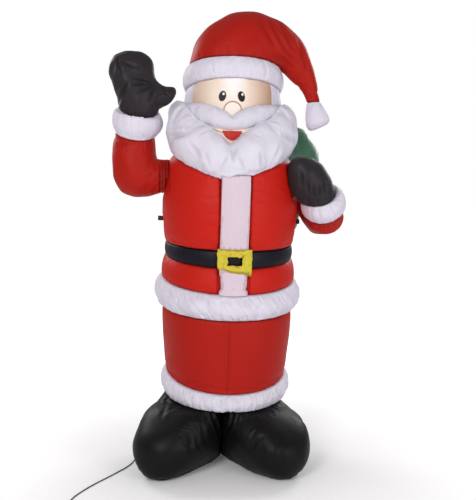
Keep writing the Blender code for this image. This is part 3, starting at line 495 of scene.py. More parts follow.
def close_lobe(lobe):
    """Thins the lobe's fine mesh, keeps it off the floor, and hands it its fabric."""
    thin = lobe.piece.modifiers.new("thin", "DECIMATE")
    thin.ratio = KEPT_SHARE
    apply_modifiers(lobe.piece)
    points = read_points(lobe.piece)
    points[:, 2] = np.maximum(points[:, 2], LEAD_LIFT)
    write_points(lobe.piece, points)
    finish_piece(lobe.piece, lobe.material, (lobe.node,))


def make_lobes(lobes):
    for lobe in lobes:
        start_lobe(lobe)
    fill_lobes(lobes)
    for lobe in lobes:
        refine_lobe(lobe)
    return {lobe.node: lobe.piece for lobe in lobes}


# Gathers, folds and unevenness, as moves of the fine mesh, with painted shade in their valleys

def wander(values, count, seed):
    """Uneven ripple round a turn, from -1 to 1, that meets itself where the turn closes."""
    draw = random.Random(seed)
    total = np.zeros_like(values)
    weight = 0.0
    for share, size in ((1.0, 1.0), (0.61, 0.8), (1.53, 0.6), (0.23, 0.5)):
        phase = draw.uniform(0, 2 * math.pi)
        total += size * np.cos(max(1, round(count * share)) * values + phase)
        weight += size
    return total / weight * 1.6


def waves(points, length, seed):
    """Smooth unevenness in space, from about -1 to 1."""
    draw = random.Random(seed)
    total = np.zeros(len(points))
    for _ in range(7):
        way = np.array([draw.gauss(0, 1) for _ in range(3)])
        way *= 2 * math.pi / length / np.linalg.norm(way) * draw.uniform(0.6, 1.5)
        total += np.cos(points @ way + draw.uniform(0, 2 * math.pi))
    return total / 2.6


def turn_about(points, centre, axis):
    """Angle of each point about an axis through the centre."""
    axis = Vector(axis).normalized()
    side = axis.orthogonal().normalized()
    other = axis.cross(side)
    rest = points - np.array(centre)
    return np.arctan2(rest @ np.array(other), rest @ np.array(side)), rest @ np.array(axis)


# Painted shade: raises the shade attribute, which darkens the fabric's colour in valleys and creases
def shade_more(piece, amount):
    shade = np.maximum(read_value(piece, "shade"), np.clip(amount, 0.0, 1.0))
    write_value(piece, "shade", shade)


def gather(piece, centre, axis, count, depth, reach, seed, slant=0.0, sharp=2.0, shade=0.2):
    """Small valleys that run away from the seams, as where a longer edge is sewn to a shorter one."""
    points = read_points(piece)
    away = read_value(piece, "away")
    turn, along = turn_about(points, centre, axis)
    ripple = 0.5 + 0.5 * np.clip(wander(turn + slant * along, count, seed), -1, 1)
    share = away / reach
    profile = share * np.exp(1 - share)
    patchy = 0.75 + 0.25 * wander(turn, max(3, count // 7), seed + 1)
    valley = ripple ** sharp * profile * patchy
    write_points(piece, points - read_normals(piece) * (depth * valley)[:, None])
    # Painted shade in the valleys
    shade_more(piece, valley * shade)


def unevenness(piece, depth, length, seed):
    """Slow hollows and swells of fabric that isn't quite tight."""
    points = read_points(piece)
    held = 1 - np.exp(-read_value(piece, "away") / 0.03)
    push = waves(points, length, seed) * held * depth
    write_points(piece, points + read_normals(piece) * push[:, None])


def on_figure(x, y, z):
    return FIGURE @ Vector((x, y, z))


def figure_points(piece):
    """The mesh's points in the figure's own upright frame."""
    back = np.array(FIGURE.inverted())
    return read_points(piece) @ back[:3, :3].T + back[:3, 3]


def front_crease(piece, start, end, width, depth, ridge, shade):
    """Valley across the front between two places (x, z), seen from the front."""
    spots = figure_points(piece)[:, [0, 2]]
    normals = read_normals(piece)
    start = np.array(start, float)
    way = np.array(end, float) - start
    share = np.clip(((spots - start) @ way) / (way @ way), 0, 1)
    gap = np.linalg.norm(spots - start - share[:, None] * way, axis=1) / width
    fade = np.sin(np.pi * np.clip(share * 0.84 + 0.1, 0, 1)) ** 0.7
    facing = np.clip(-normals[:, 1] * 1.6, 0, 1)
    valley = np.exp(-gap ** 2) * fade * facing
    push = -valley + ridge * np.exp(-((gap - 2.0) ** 2)) * fade * facing
    write_points(piece, read_points(piece) + normals * (depth * push)[:, None])
    # Painted shade in the crease
    shade_more(piece, valley * shade)


def fold(piece, folds, ridge, shade):
    for start, end, width, depth in folds:
        front_crease(piece, start, end, width, depth, ridge, shade)


def soft_step(values, low, high):
    share = np.clip((values - low) / (high - low), 0, 1)
    return share * share * (3 - 2 * share)


def tuck_behind_band(piece):
    """Draws the lobe in behind the white band, so that the band lies on top of it."""
    spots = figure_points(piece)
    behind = 1 - soft_step(np.abs(spots[:, 0]), BAND_HALF_WIDTH, BAND_HALF_WIDTH + BAND_EDGE)
    behind = behind * (spots[:, 1] < 0)
    points = read_points(piece)
    points[:, 1] += TUCK * behind
    write_points(piece, points)


# Node groups and materials

def new_group(name, inputs, outputs):
    group = bpy.data.node_groups.new(name, "ShaderNodeTree")
    for label, kind, default in inputs:
        socket = group.interface.new_socket(name=label, in_out="INPUT", socket_type=kind)
        if default is not None:
            socket.default_value = default
    for label, kind in outputs:
        group.interface.new_socket(name=label, in_out="OUTPUT", socket_type=kind)
    return group, group.nodes.new("NodeGroupInput"), group.nodes.new("NodeGroupOutput")


def add_math(tree, operation, first, second=None, third=None, clamp=False):
    node = tree.nodes.new("ShaderNodeMath")
    node.operation = operation
    node.use_clamp = clamp
    for socket, value in zip(node.inputs, (first, second, third)):
        if isinstance(value, (int, float)):
            socket.default_value = value
        elif value is not None:
            tree.links.new(value, socket)
    return node.outputs[0]


def add_mix(tree, factor, first, second):
    node = tree.nodes.new("ShaderNodeMix")
    node.data_type = "RGBA"
    for index, value in ((0, factor), (6, first), (7, second)):
        socket = node.inputs[index]
        if isinstance(value, bpy.types.NodeSocket):
            tree.links.new(value, socket)
        elif isinstance(value, (int, float)):
            socket.default_value = value
        else:
            socket.default_value = (*value, 1.0)
    return node.outputs[2]


def add_noise(tree, vector, scale, detail=2.0, rough=0.5):
    node = tree.nodes.new("ShaderNodeTexNoise")
    node.inputs["Scale"].default_value = scale
    node.inputs["Detail"].default_value = detail
    node.inputs["Roughness"].default_value = rough
    tree.links.new(vector, node.inputs["Vector"])
    return node.outputs["Fac"]


def add_mapping(tree, vector, location=(0, 0, 0), rotation=(0, 0, 0), scale=(1, 1, 1)):
    node = tree.nodes.new("ShaderNodeMapping")
    node.inputs["Location"].default_value = location
    node.inputs["Rotation"].default_value = rotation
    node.inputs["Scale"].default_value = scale
    tree.links.new(vector, node.inputs["Vector"])
    return node.outputs[0]


def build_taffeta_group():
    """Plain weave, the fine crumple of thin fabric, and an uneven dye."""
    group, source, sink = new_group(
        "thin taffeta",
        [("Vector", "NodeSocketVector", None), ("Threads", "NodeSocketFloat", 800.0),
         ("Crumple", "NodeSocketFloat", 1.0)],
        [("Height", "NodeSocketFloat"), ("Tone", "NodeSocketFloat")])
    vector = source.outputs["Vector"]
    split = group.nodes.new("ShaderNodeSeparateXYZ")
    group.links.new(vector, split.inputs[0])
    round_turn = add_math(group, "ADD", split.outputs["X"], split.outputs["Y"])
    warp = add_math(group, "SINE", add_math(group, "MULTIPLY", round_turn, source.outputs["Threads"]))
    weft = add_math(
        group, "SINE", add_math(group, "MULTIPLY", split.outputs["Z"], source.outputs["Threads"]))
    weave = add_math(group, "MULTIPLY", warp, weft)
    broad = add_noise(group, vector, 9.0, 3.0, 0.55)
    fine = add_noise(group, vector, 46.0, 4.0, 0.6)
    ridged = add_math(group, "ABSOLUTE", add_math(group, "SUBTRACT", fine, 0.5))
    broad_ridge = add_math(group, "ABSOLUTE", add_math(group, "SUBTRACT", broad, 0.5))
    crumple = add_math(group, "MULTIPLY_ADD", broad_ridge, 2.2, ridged)
    crumple = add_math(group, "MULTIPLY", crumple, source.outputs["Crumple"])
    height = add_math(group, "MULTIPLY_ADD", weave, 0.035, crumple)
    tone = add_math(group, "MULTIPLY_ADD", fine, 0.45, add_math(group, "MULTIPLY", broad, 0.55))
    group.links.new(height, sink.inputs["Height"])
    group.links.new(tone, sink.inputs["Tone"])
    return group


def build_spot_group():
    """Soft-edged printed oval: 1 inside, 0 outside."""
    group, source, sink = new_group(
        "printed oval",
        [("Vector", "NodeSocketVector", None), ("Across", "NodeSocketFloat", 0.0),
         ("Up", "NodeSocketFloat", 0.0), ("Half width", "NodeSocketFloat", 0.01),
         ("Half height", "NodeSocketFloat", 0.01), ("Tilt", "NodeSocketFloat", 0.0),
         ("Edge", "NodeSocketFloat", 0.1)],
        [("Inside", "NodeSocketFloat")])
    split = group.nodes.new("ShaderNodeSeparateXYZ")
    group.links.new(source.outputs["Vector"], split.inputs[0])
    x = add_math(group, "SUBTRACT", split.outputs["X"], source.outputs["Across"])
    z = add_math(group, "SUBTRACT", split.outputs["Z"], source.outputs["Up"])
    x = add_math(group, "MULTIPLY_ADD", z, source.outputs["Tilt"], x)
    x = add_math(group, "DIVIDE", x, source.outputs["Half width"])
    z = add_math(group, "DIVIDE", z, source.outputs["Half height"])
    reach = add_math(group, "SQRT", add_math(
        group, "ADD", add_math(group, "MULTIPLY", x, x), add_math(group, "MULTIPLY", z, z)))
    low = add_math(group, "SUBTRACT", 1.0, source.outputs["Edge"])
    step = group.nodes.new("ShaderNodeMapRange")
    step.interpolation_type = "SMOOTHSTEP"
    step.inputs["To Min"].default_value = 1.0
    step.inputs["To Max"].default_value = 0.0
    group.links.new(reach, step.inputs["Value"])
    group.links.new(low, step.inputs["From Min"])
    group.links.new(add_math(group, "ADD", 1.0, source.outputs["Edge"]), step.inputs["From Max"])
    group.links.new(step.outputs["Result"], sink.inputs["Inside"])
    return group


def build_groups():
    return {"taffeta": build_taffeta_group(), "spot": build_spot_group()}


GROUPS = {}
MATERIALS = {}


def new_material(name, roughness, metallic=0.0):
    material = bpy.data.materials.new(name)
    material.use_nodes = True
    shader = material.node_tree.nodes["Principled BSDF"]
    shader.inputs["Roughness"].default_value = roughness
    shader.inputs["Metallic"].default_value = metallic
    return material, material.node_tree, shader


def object_coordinates(tree):
    return tree.nodes.new("ShaderNodeTexCoord").outputs["Object"]


def add_taffeta(tree, shader, vector, crumple, bump):
    """Weave and crumple as bump; gives the dye's tone for the colour."""
    node = tree.nodes.new("ShaderNodeGroup")
    node.node_tree = GROUPS["taffeta"]
    node.inputs["Threads"].default_value = math.pi / sizes().weave
    node.inputs["Crumple"].default_value = crumple
    tree.links.new(vector, node.inputs["Vector"])
    raised = tree.nodes.new("ShaderNodeBump")
    raised.inputs["Distance"].default_value = bump
    raised.inputs["Strength"].default_value = 0.6
    tree.links.new(node.outputs["Height"], raised.inputs["Height"])
    tree.links.new(raised.outputs["Normal"], shader.inputs["Normal"])
    return node.outputs["Tone"]


def add_value_map(tree, value, low, high, to_low, to_high):
    node = tree.nodes.new("ShaderNodeMapRange")
    tree.links.new(value, node.inputs["Value"])
    for label, number in (
            ("From Min", low), ("From Max", high), ("To Min", to_low), ("To Max", to_high)):
        node.inputs[label].default_value = number
    return node.outputs["Result"]


def add_attribute(tree, name):
    node = tree.nodes.new("ShaderNodeAttribute")
    node.attribute_name = name
    return node.outputs["Fac"]


def scaled(colour, factor):
    return tuple(min(channel * factor, 1.0) for channel in colour)


def fabric_material(
        name, colour, painted_shade_colour, roughness, crumple=1.0, bump=0.0012, sheen=0.0, seam=0.006, edge=0.75):
    """Thin dyed taffeta with painted shade in its valleys and along its seams."""
    material, tree, shader = new_material(name, roughness)
    shader.inputs["Specular IOR Level"].default_value = 0.16
    vector = object_coordinates(tree)
    tone = add_taffeta(tree, shader, vector, crumple, bump)
    dyed = add_mix(tree, add_value_map(tree, tone, 0.3, 0.7, 0.0, 1.0), scaled(colour, 0.93), colour)
    # Painted shade along the seams: edge is its share at the seam, and it fades out within seam of it
    seam_shade = add_value_map(tree, add_attribute(tree, "away"), 0.0, seam, edge, 0.0)
    # Painted shade in the valleys, from the shade attribute; the colour goes towards the painted shade
    # colour
    painted_shade_amount = add_math(tree, "MAXIMUM", seam_shade, add_attribute(tree, "shade"), clamp=True)
    tree.links.new(add_mix(tree, painted_shade_amount, dyed, painted_shade_colour), shader.inputs["Base Color"])
    tree.links.new(
        add_value_map(tree, tone, 0.3, 0.7, roughness - 0.05, roughness + 0.06),
        shader.inputs["Roughness"])
    shader.inputs["Sheen Weight"].default_value = sheen
    shader.inputs["Sheen Roughness"].default_value = 0.4
    return material


def upright_coordinates(tree, vector):
    """Coordinates of the figure before it leans."""
    moved = add_mapping(tree, vector, (-FOOT_SHIFT, 0, 0))
    return add_mapping(tree, moved, rotation=(0, -LEAN, 0))


def face_material():
    """Skin panel with painted shade towards its sides, a painted glow on the forehead, two printed eyes
    and a printed nose.
    """
    skin = tuple(colours().skin)
    material, tree, shader = new_material("face fabric", 0.5)
    shader.inputs["Specular IOR Level"].default_value = 0.25
    vector = object_coordinates(tree)
    tone = add_taffeta(tree, shader, vector, 0.5, 0.0008)
    upright = upright_coordinates(tree, vector)
    split = tree.nodes.new("ShaderNodeSeparateXYZ")
    tree.links.new(upright, split.inputs[0])
    across = split.outputs["X"]
    # Painted shade: the skin turns brown towards both sides of the face
    left = add_value_map(tree, across, -0.215, -0.12, 0.5, 0.0)
    right = add_value_map(tree, across, 0.04, 0.20, 0.0, 0.95)
    painted_edge_shade = add_math(tree, "MAXIMUM", left, right, clamp=True)
    colour = add_mix(tree, add_value_map(tree, tone, 0.3, 0.7, 0.0, 1.0), scaled(skin, 0.95), skin)
    colour = add_mix(tree, painted_edge_shade, colour, (0.48, 0.235, 0.135))
    # Painted light: a pale glow on the forehead, as of a lamp inside the head
    painted_glow = add_spot(tree, upright, (MIDLINE, 2.025), (0.05, 0.105), 0.0, 0.8)
    colour = add_mix(tree, add_math(tree, "MULTIPLY", painted_glow, 0.9), colour, (0.98, 0.93, 0.93))
    line = (0.42, 0.20, 0.10)
    ring = add_spot(tree, upright, NOSE, (0.047, 0.047), 0.0, 0.05)
    inner = add_spot(tree, upright, (NOSE[0], NOSE[1] - 0.001), (0.0415, 0.0415), 0.0, 0.06)
    colour = add_mix(tree, ring, colour, line)
    colour = add_mix(tree, inner, colour, (0.93, 0.82, 0.75))
    for (x, z), tilt in EYES:
        rim = add_spot(tree, upright, (x, z), (0.0185, 0.0265), tilt, 0.08)
        colour = add_mix(tree, rim, colour, (0.012, 0.009, 0.009))
        shine = add_spot(tree, upright, (x + 0.005, z + 0.011), (0.0055, 0.0065), 0.0, 0.2)
        colour = add_mix(tree, shine, colour, (0.9, 0.9, 0.9))
    tree.links.new(colour, shader.inputs["Base Color"])
    return material


def mouth_material():
    """Skin panel with a printed smile and a red lip below it."""
    skin = tuple(colours().skin)
    material, tree, shader = new_material("mouth fabric", 0.5)
    shader.inputs["Specular IOR Level"].default_value = 0.25
    vector = object_coordinates(tree)
    add_taffeta(tree, shader, vector, 0.4, 0.0006)
    upright = upright_coordinates(tree, vector)
    line = (0.26, 0.09, 0.04)
    size = (SMILE_RADIUS, SMILE_RADIUS)
    smile = add_spot(tree, upright, SMILE, size, 0.0, 0.004)
    above = add_spot(tree, upright, (SMILE[0], SMILE[1] + 0.004), size, 0.0, 0.004)
    colour = add_mix(tree, smile, skin, line)
    colour = add_mix(tree, above, colour, skin)
    lip_low = add_spot(tree, upright, (-0.021, 1.761), (0.054, 0.055), 0.0, 0.06)
    lip_left = add_spot(tree, upright, (-0.056, 1.769), (0.085, 0.071), 0.0, 0.04)
    lip_right = add_spot(tree, upright, (0.010, 1.769), (0.085, 0.071), 0.0, 0.04)
    both = add_math(tree, "MULTIPLY", lip_left, lip_right)
    lip = add_math(tree, "MULTIPLY", both, lip_low)
    split = tree.nodes.new("ShaderNodeSeparateXYZ")
    tree.links.new(upright, split.inputs[0])
    below = add_value_map(tree, split.outputs["Z"], LIP_TOP, LIP_TOP + 0.003, 1.0, 0.0)
    lip = add_math(tree, "MULTIPLY", lip, below)
    colour = add_mix(tree, lip, colour, (0.50, 0.028, 0.018))
    tree.links.new(colour, shader.inputs["Base Color"])
    return material


def add_spot(tree, vector, centre, half, tilt, edge):
    node = tree.nodes.new("ShaderNodeGroup")
    node.node_tree = GROUPS["spot"]
    tree.links.new(vector, node.inputs["Vector"])
    for label, number in (
            ("Across", centre[0]), ("Up", centre[1]), ("Half width", half[0]),
            ("Half height", half[1]), ("Tilt", tilt), ("Edge", edge)):
        node.inputs[label].default_value = number
    return node.outputs["Inside"]


def satin_material():
    """Satin of the sack: painted sheen in streaks that run down with its folds, and painted shade along
    its seams.
    """
    green = tuple(colours().green)
    material, tree, shader = new_material("sack satin", 0.36)
    vector = object_coordinates(tree)
    # Painted sheen: lighter streaks of green, stretched down the sack
    painted_sheen_streak = add_noise(tree, add_mapping(tree, vector, scale=(1, 1, 0.12)), 42.0, 3.0)
    tone = add_taffeta(tree, shader, vector, 1.3, 0.0014)
    dye_and_sheen = add_math(tree, "MULTIPLY_ADD", tone, 0.4, add_math(tree, "MULTIPLY", painted_sheen_streak, 0.6))
    share = add_value_map(tree, dye_and_sheen, 0.36, 0.64, 0.0, 1.0)
    colour = add_mix(tree, share, scaled(green, 0.7), scaled(green, 1.45))
    # Painted shade along the seams
    seam_shade = add_value_map(tree, add_attribute(tree, "away"), 0.0, 0.006, 0.7, 0.0)
    tree.links.new(add_mix(tree, seam_shade, colour, scaled(green, 0.3)), shader.inputs["Base Color"])
    tree.links.new(add_value_map(tree, dye_and_sheen, 0.36, 0.64, 0.42, 0.30), shader.inputs["Roughness"])
    shader.inputs["Sheen Weight"].default_value = 0.3
    return material


def webbing_material():
    """Dark red webbing with a fine straight rib."""
    material, tree, shader = new_material("webbing", 0.75)
    vector = object_coordinates(tree)
    split = tree.nodes.new("ShaderNodeSeparateXYZ")
    tree.links.new(vector, split.inputs[0])
    rib = add_math(tree, "SINE", add_math(tree, "MULTIPLY", split.outputs["Z"], 2600.0))
    rib = add_value_map(tree, rib, -1.0, 1.0, 0.0, 1.0)
    colour = add_mix(tree, rib, (0.020, 0.006, 0.006), (0.075, 0.016, 0.014))
    tree.links.new(colour, shader.inputs["Base Color"])
    raised = tree.nodes.new("ShaderNodeBump")
    raised.inputs["Distance"].default_value = 0.0004
    tree.links.new(rib, raised.inputs["Height"])
    tree.links.new(raised.outputs["Normal"], shader.inputs["Normal"])
    return material


def plastic_material(name, roughness, grain, depth):
    """Black moulded plastic with a fine spark grain and a cloudy, lighter mottle."""
    black = tuple(colours().plastic)
    material, tree, shader = new_material(name, roughness)
    vector = object_coordinates(tree)
    speck = add_noise(tree, vector, grain, 2.0)
    cloud = add_noise(tree, vector, 30.0, 3.0)
    colour = add_mix(tree, add_value_map(tree, cloud, 0.35, 0.7, 0.0, 1.0), black, scaled(black, 2.1))
    tree.links.new(colour, shader.inputs["Base Color"])
    tree.links.new(
        add_value_map(tree, cloud, 0.3, 0.7, roughness - 0.06, roughness + 0.08),
        shader.inputs["Roughness"])
    raised = tree.nodes.new("ShaderNodeBump")
    raised.inputs["Distance"].default_value = depth
    tree.links.new(speck, raised.inputs["Height"])
    tree.links.new(raised.outputs["Normal"], shader.inputs["Normal"])
    return material


def brass_material():
    material, tree, shader = new_material("plug pins", 0.25, 1.0)
    vector = object_coordinates(tree)
    wear = add_noise(tree, vector, 400.0, 3.0)
    colour = add_mix(tree, wear, (0.66, 0.52, 0.26), (0.80, 0.66, 0.36))
    tree.links.new(colour, shader.inputs["Base Color"])
    return material


def build_materials():
    tints = colours()
    red = tuple(tints.red)
    trim = tuple(tints.trim)
    beard = tuple(tints.beard)
    black = tuple(tints.black)
    gold = tuple(tints.gold)
    placket = tuple(tints.placket)
    return {
        # The second colour of each fabric is its painted shade colour, for its seams and valleys
        "red": fabric_material("red taffeta", red, scaled(red, 0.30), 0.48, 0.6, edge=0.5),
        # Painted shade: the shaded red is the jacket's red darkened to 0.77, standing in for the shade
        # on the trousers, hat and sleeves
        "shaded red": fabric_material(
            "shaded red taffeta", scaled(red, 0.77), scaled(red, 0.25), 0.52, 0.6, edge=0.5),
        "trim": fabric_material(
            "white taffeta", trim, scaled(trim, 0.42), 0.55, 1.3, 0.0018, edge=0.35),
        "beard": fabric_material(
            "beard taffeta", beard, scaled(beard, 0.5), 0.55, 0.8, 0.0014, edge=0.3),
        "hair": fabric_material("hair taffeta", beard, scaled(beard, 0.5), 0.55, 0.8, edge=0.3),
        "moustache": fabric_material(
            "moustache taffeta", scaled(beard, 0.96), scaled(beard, 0.6), 0.5, 0.5, 0.0008, edge=0.3),
        "placket": fabric_material(
            "placket taffeta", placket, (0.33, 0.05, 0.05), 0.5, 0.4, 0.0008, seam=0.002, edge=0.3),
        "black": fabric_material("black taffeta", black, scaled(black, 0.3), 0.44, 0.9, 0.0012),
        "belt": fabric_material(
            "belt taffeta", (0.0085, 0.0065, 0.0135), scaled(black, 0.3), 0.46, 0.4, 0.0008),
        "glove": fabric_material(
            "mitten taffeta", tuple(tints.glove), scaled(black, 0.4), 0.44, 1.0, 0.0012, 0.05),
        "gold": fabric_material("yellow taffeta", gold, (0.30, 0.16, 0.02), 0.45, 1.8, 0.0022),
        "face": face_material(),
        "mouth": mouth_material(),
        "satin": satin_material(),
        "webbing": webbing_material(),
        "housing": plastic_material("blower plastic", 0.48, 2400.0, 0.0002),
        "rubber": plastic_material("lead sheath", 0.55, 1600.0, 0.00008),
        "brass": brass_material(),
    }


# Camera, light and floor

class SANTA_OT_stage(bpy.types.Operator):
    """Pale floor, soft light and the camera"""

    bl_idname = "santa.stage"
    bl_label = "Stage"

    def execute(self, context):
        context.scene.view_settings.view_transform = "Standard"
        GROUPS.update(build_groups())
        MATERIALS.update(build_materials())
        camera = bpy.data.cameras.new("camera")
        camera.sensor_width = 36.0
        camera.lens = CAMERA_LENS
        holder = bpy.data.objects.new("camera", camera)
        holder.location = CAMERA_PLACE
        aim = CAMERA_AIM - CAMERA_PLACE
        holder.rotation_euler = aim.to_track_quat("-Z", "Y").to_euler()
        context.scene.collection.objects.link(holder)
        context.scene.camera = holder
        self.add_floor()
        self.add_world(context)
        for name, place, size, power, tint in LAMPS:
            self.add_light(context, name, place, size, power, tint)
        return {"FINISHED"}

    def add_floor(self):
        bpy.ops.object.select_all(action="DESELECT")
        bpy.ops.mesh.primitive_circle_add(vertices=96, radius=40.0, fill_type="NGON")
        floor = bpy.context.object
        floor.name = "floor"
        material, tree, shader = new_material("studio floor", 0.9)
        shader.inputs["Base Color"].default_value = (0.92, 0.92, 0.93, 1.0)
        shader.inputs["Specular IOR Level"].default_value = 0.1
        shader.inputs["Emission Color"].default_value = (1.0, 1.0, 1.0, 1.0)
        length = tree.nodes.new("ShaderNodeVectorMath")
        length.operation = "LENGTH"
        tree.links.new(object_coordinates(tree), length.inputs[0])
        far = add_value_map(tree, length.outputs["Value"], 0.5, 3.5, 0.06, 0.75)
        seen = tree.nodes.new("ShaderNodeLightPath").outputs["Is Camera Ray"]
        tree.links.new(add_math(tree, "MULTIPLY", far, seen), shader.inputs["Emission Strength"])
        floor.data.materials.append(material)

    def add_world(self, context):
        """White backdrop that lights the figure less than it shows, as flagged studio walls do."""
        world = bpy.data.worlds.new("studio")
        world.use_nodes = True
        tree = world.node_tree
        background = tree.nodes["Background"]
        background.inputs["Color"].default_value = (1.0, 1.0, 1.0, 1.0)
        seen = tree.nodes.new("ShaderNodeLightPath").outputs["Is Camera Ray"]
        tree.links.new(
            add_value_map(tree, seen, 0.0, 1.0, WALL_LIGHT, 1.0), background.inputs["Strength"])
        context.scene.world = world

    def add_light(self, context, name, place, size, power, tint):
        light = bpy.data.lights.new(name, "AREA")
        light.shape = "DISK"
        light.size = size
        light.energy = power
        light.color = tint
        lamp = bpy.data.objects.new(name, light)
        lamp.location = place
        aim = LAMP_AIM - Vector(place)
        lamp.rotation_euler = aim.to_track_quat("-Z", "Y").to_euler()
        context.scene.collection.objects.link(lamp)


# Mains lead

def smooth_points(points, steps):
    """Points of a smooth curve through the given ones."""
    result = []
    rows = [Vector(point) for point in points]
    for i in range(len(rows) - 1):
        before = rows[max(i - 1, 0)]
        start = rows[i]
        end = rows[i + 1]
        after = rows[min(i + 2, len(rows) - 1)]
        for k in range(steps):
            t = k / steps
            a = (end - before) / 2
            b = (after - start) / 2
            point = (2 * t ** 3 - 3 * t ** 2 + 1) * start + (t ** 3 - 2 * t ** 2 + t) * a
            point += (3 * t ** 2 - 2 * t ** 3) * end + (t ** 3 - t ** 2) * b
            result.append(point)
    result.append(rows[-1])
    return result


def ease(value, low, high):
    share = min(max((value - low) / (high - low), 0.0), 1.0)
    return share * share * (3 - 2 * share)


def coil_points(low, high, inner, outer):
    """Three turns and a quarter, clockwise from above, that start and end at the low level."""
    points = []
    step = 10
    for degrees in range(8, 1170 + 1, step):
        radius = outer - (outer - inner) * ease(degrees, -30, 40)
        radius += (outer - inner) * ease(degrees, 620, 675)
        radius -= (outer - inner) * 0.4 * ease(degrees, 1120, 1170)
        height = low + (high - low) * (ease(degrees, 290, 345) - ease(degrees, 1082, 1142))
        turn = -math.radians(degrees)
        points.append(
            COIL_CENTRE + Vector((radius * math.cos(turn), radius * math.sin(turn), height)))
    return points


def tail_points(low):
    start = COIL_CENTRE + Vector((-0.012, -0.033, low))
    return [start + Vector(move) for move in (
        (0, 0, 0), (-0.012, 0, 0), (-0.026, 0, 0.0022), (-0.041, 0, 0.0072),
        (-0.052, 0, 0.0103), (-0.0623, 0, 0.0107))]


class SANTA_OT_lead(bpy.types.Operator):
    """Mains lead with its plug and strain relief"""

    bl_idname = "santa.lead"
    bl_label = "Mains lead"

    def execute(self, context):
        diameter = sizes().lead_diameter
        low = diameter / 2 + LEAD_LIFT
        coil = coil_points(low, low + diameter + LEAD_LIFT, COIL_INNER, COIL_OUTER)
        points = smooth_points(LEAD_ROUTE, 6)[:-1] + smooth_points(
            [LEAD_ROUTE[-1], *coil, *tail_points(low)], 2)
        curve = bpy.data.curves.new("mains_lead", "CURVE")
        curve.dimensions = "3D"
        curve.bevel_depth = diameter / 2
        curve.bevel_resolution = 3
        curve.use_fill_caps = True
        spline = curve.splines.new("POLY")
        spline.points.add(len(points) - 1)
        for spot, point in zip(spline.points, points):
            spot.co = (*point, 1.0)
        lead = bpy.data.objects.new("mains_lead", curve)
        context.scene.collection.objects.link(lead)
        curve.materials.append(MATERIALS["rubber"])
        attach(lead, "root")
        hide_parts("cord", "cord_coil", "cord_tail")
        relief = self.make_relief()
        plug, pins = self.make_plug()
        return {"FINISHED"}

    def make_relief(self):
        """Tapered sleeve with rings, where the lead leaves the drum."""
        low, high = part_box("strain_relief")
        rows = [(high.x, 0.0072), (high.x - 0.004, 0.0075)]
        steps = 5
        for k in range(steps):
            x = high.x - 0.006 - k * 0.0052
            radius = 0.0072 - 0.0027 * (k + 1) / steps
            rows.extend([(x, radius), (x - 0.0028, radius - 0.0001), (x - 0.0032, radius - 0.0010),
                         (x - 0.0048, radius - 0.0011)])
        rows.append((low.x, 0.0042))
        centre = (low + high) / 2
        piece = turned("lead_relief", rows, (0, centre.y, centre.z), 24)
        finish_piece(piece, MATERIALS["housing"], ("strain_relief",))
        return piece

    def make_plug(self):
        """Plain two-pin plug: a waisted grip with ribs, a flat front and two round pins."""
        low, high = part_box("plug")
        front = high.x - PLUG_GRIP
        rows = [(high.x, 0.0050), (high.x - 0.0012, 0.0072)]
        for k in range(5):
            x = high.x - 0.004 - k * 0.0042
            rows.extend([(x, 0.0078 + 0.0004 * k), (x - 0.0012, 0.0090 + 0.0004 * k),
                         (x - 0.0028, 0.0090 + 0.0004 * k), (x - 0.0040, 0.0078 + 0.0004 * k)])
        rows.extend([(front + 0.018, 0.0108), (front + 0.010, 0.0128), (front + 0.002, 0.0130),
                     (front, 0.0122)])
        centre = (low + high) / 2
        plug = turned("plug_body", rows, (0, centre.y, high.z - PLUG_RADIUS), 36)
        finish_piece(plug, MATERIALS["rubber"], ("plug",))
        rods = []
        for side in (-1, 1):
            pin_rows = [(front + 0.001, 0.002), (low.x + 0.0012, 0.002), (low.x + 0.0004, 0.0016),
                        (low.x, 0.0008)]
            place = (0, centre.y + side * PIN_OFFSET, high.z - PLUG_RADIUS)
            rods.append(turned("pin", pin_rows, place, 16))
        pick(rods[0])
        rods[1].select_set(True)
        bpy.ops.object.join()
        pins = rods[0]
        pins.name = "plug_pins"
        finish_piece(pins, MATERIALS["brass"])
        return plug, pins


def turned(name, rows, place, sides):
    """Closed turned shape along X from rows of (x, radius), drawn out ring by ring."""
    bpy.ops.object.select_all(action="DESELECT")
    x, radius = rows[0]
    bpy.ops.mesh.primitive_circle_add(
        vertices=sides, radius=radius, fill_type="NGON", location=(x, place[1], place[2]),
        rotation=(0, math.pi / 2, 0))
    piece = bpy.context.object
    piece.name = name
    bpy.ops.object.transform_apply(location=True, rotation=True, scale=True)
    bpy.ops.object.mode_set(mode="EDIT")
    bpy.ops.mesh.select_all(action="SELECT")
    for next_x, next_radius in rows[1:]:
        bpy.ops.mesh.extrude_region_move(TRANSFORM_OT_translate={"value": (next_x - x, 0, 0)})
        grow = next_radius / radius
        bpy.ops.transform.resize(
            value=(1, grow, grow), center_override=(next_x, place[1], place[2]))
        x, radius = next_x, next_radius
    bpy.ops.mesh.select_all(action="SELECT")
    bpy.ops.mesh.normals_make_consistent(inside=False)
    bpy.ops.object.mode_set(mode="OBJECT")
    bpy.ops.object.shade_smooth_by_angle(angle=math.radians(35))
    return piece


# Fabric lobes

def add_lobes(names, grain, swell, slack, material, slot, smooth=20, facets=0):
    return [
        Lobe(name, grain, swell, slack, MATERIALS[material], slot, smooth, facets) for name in names]


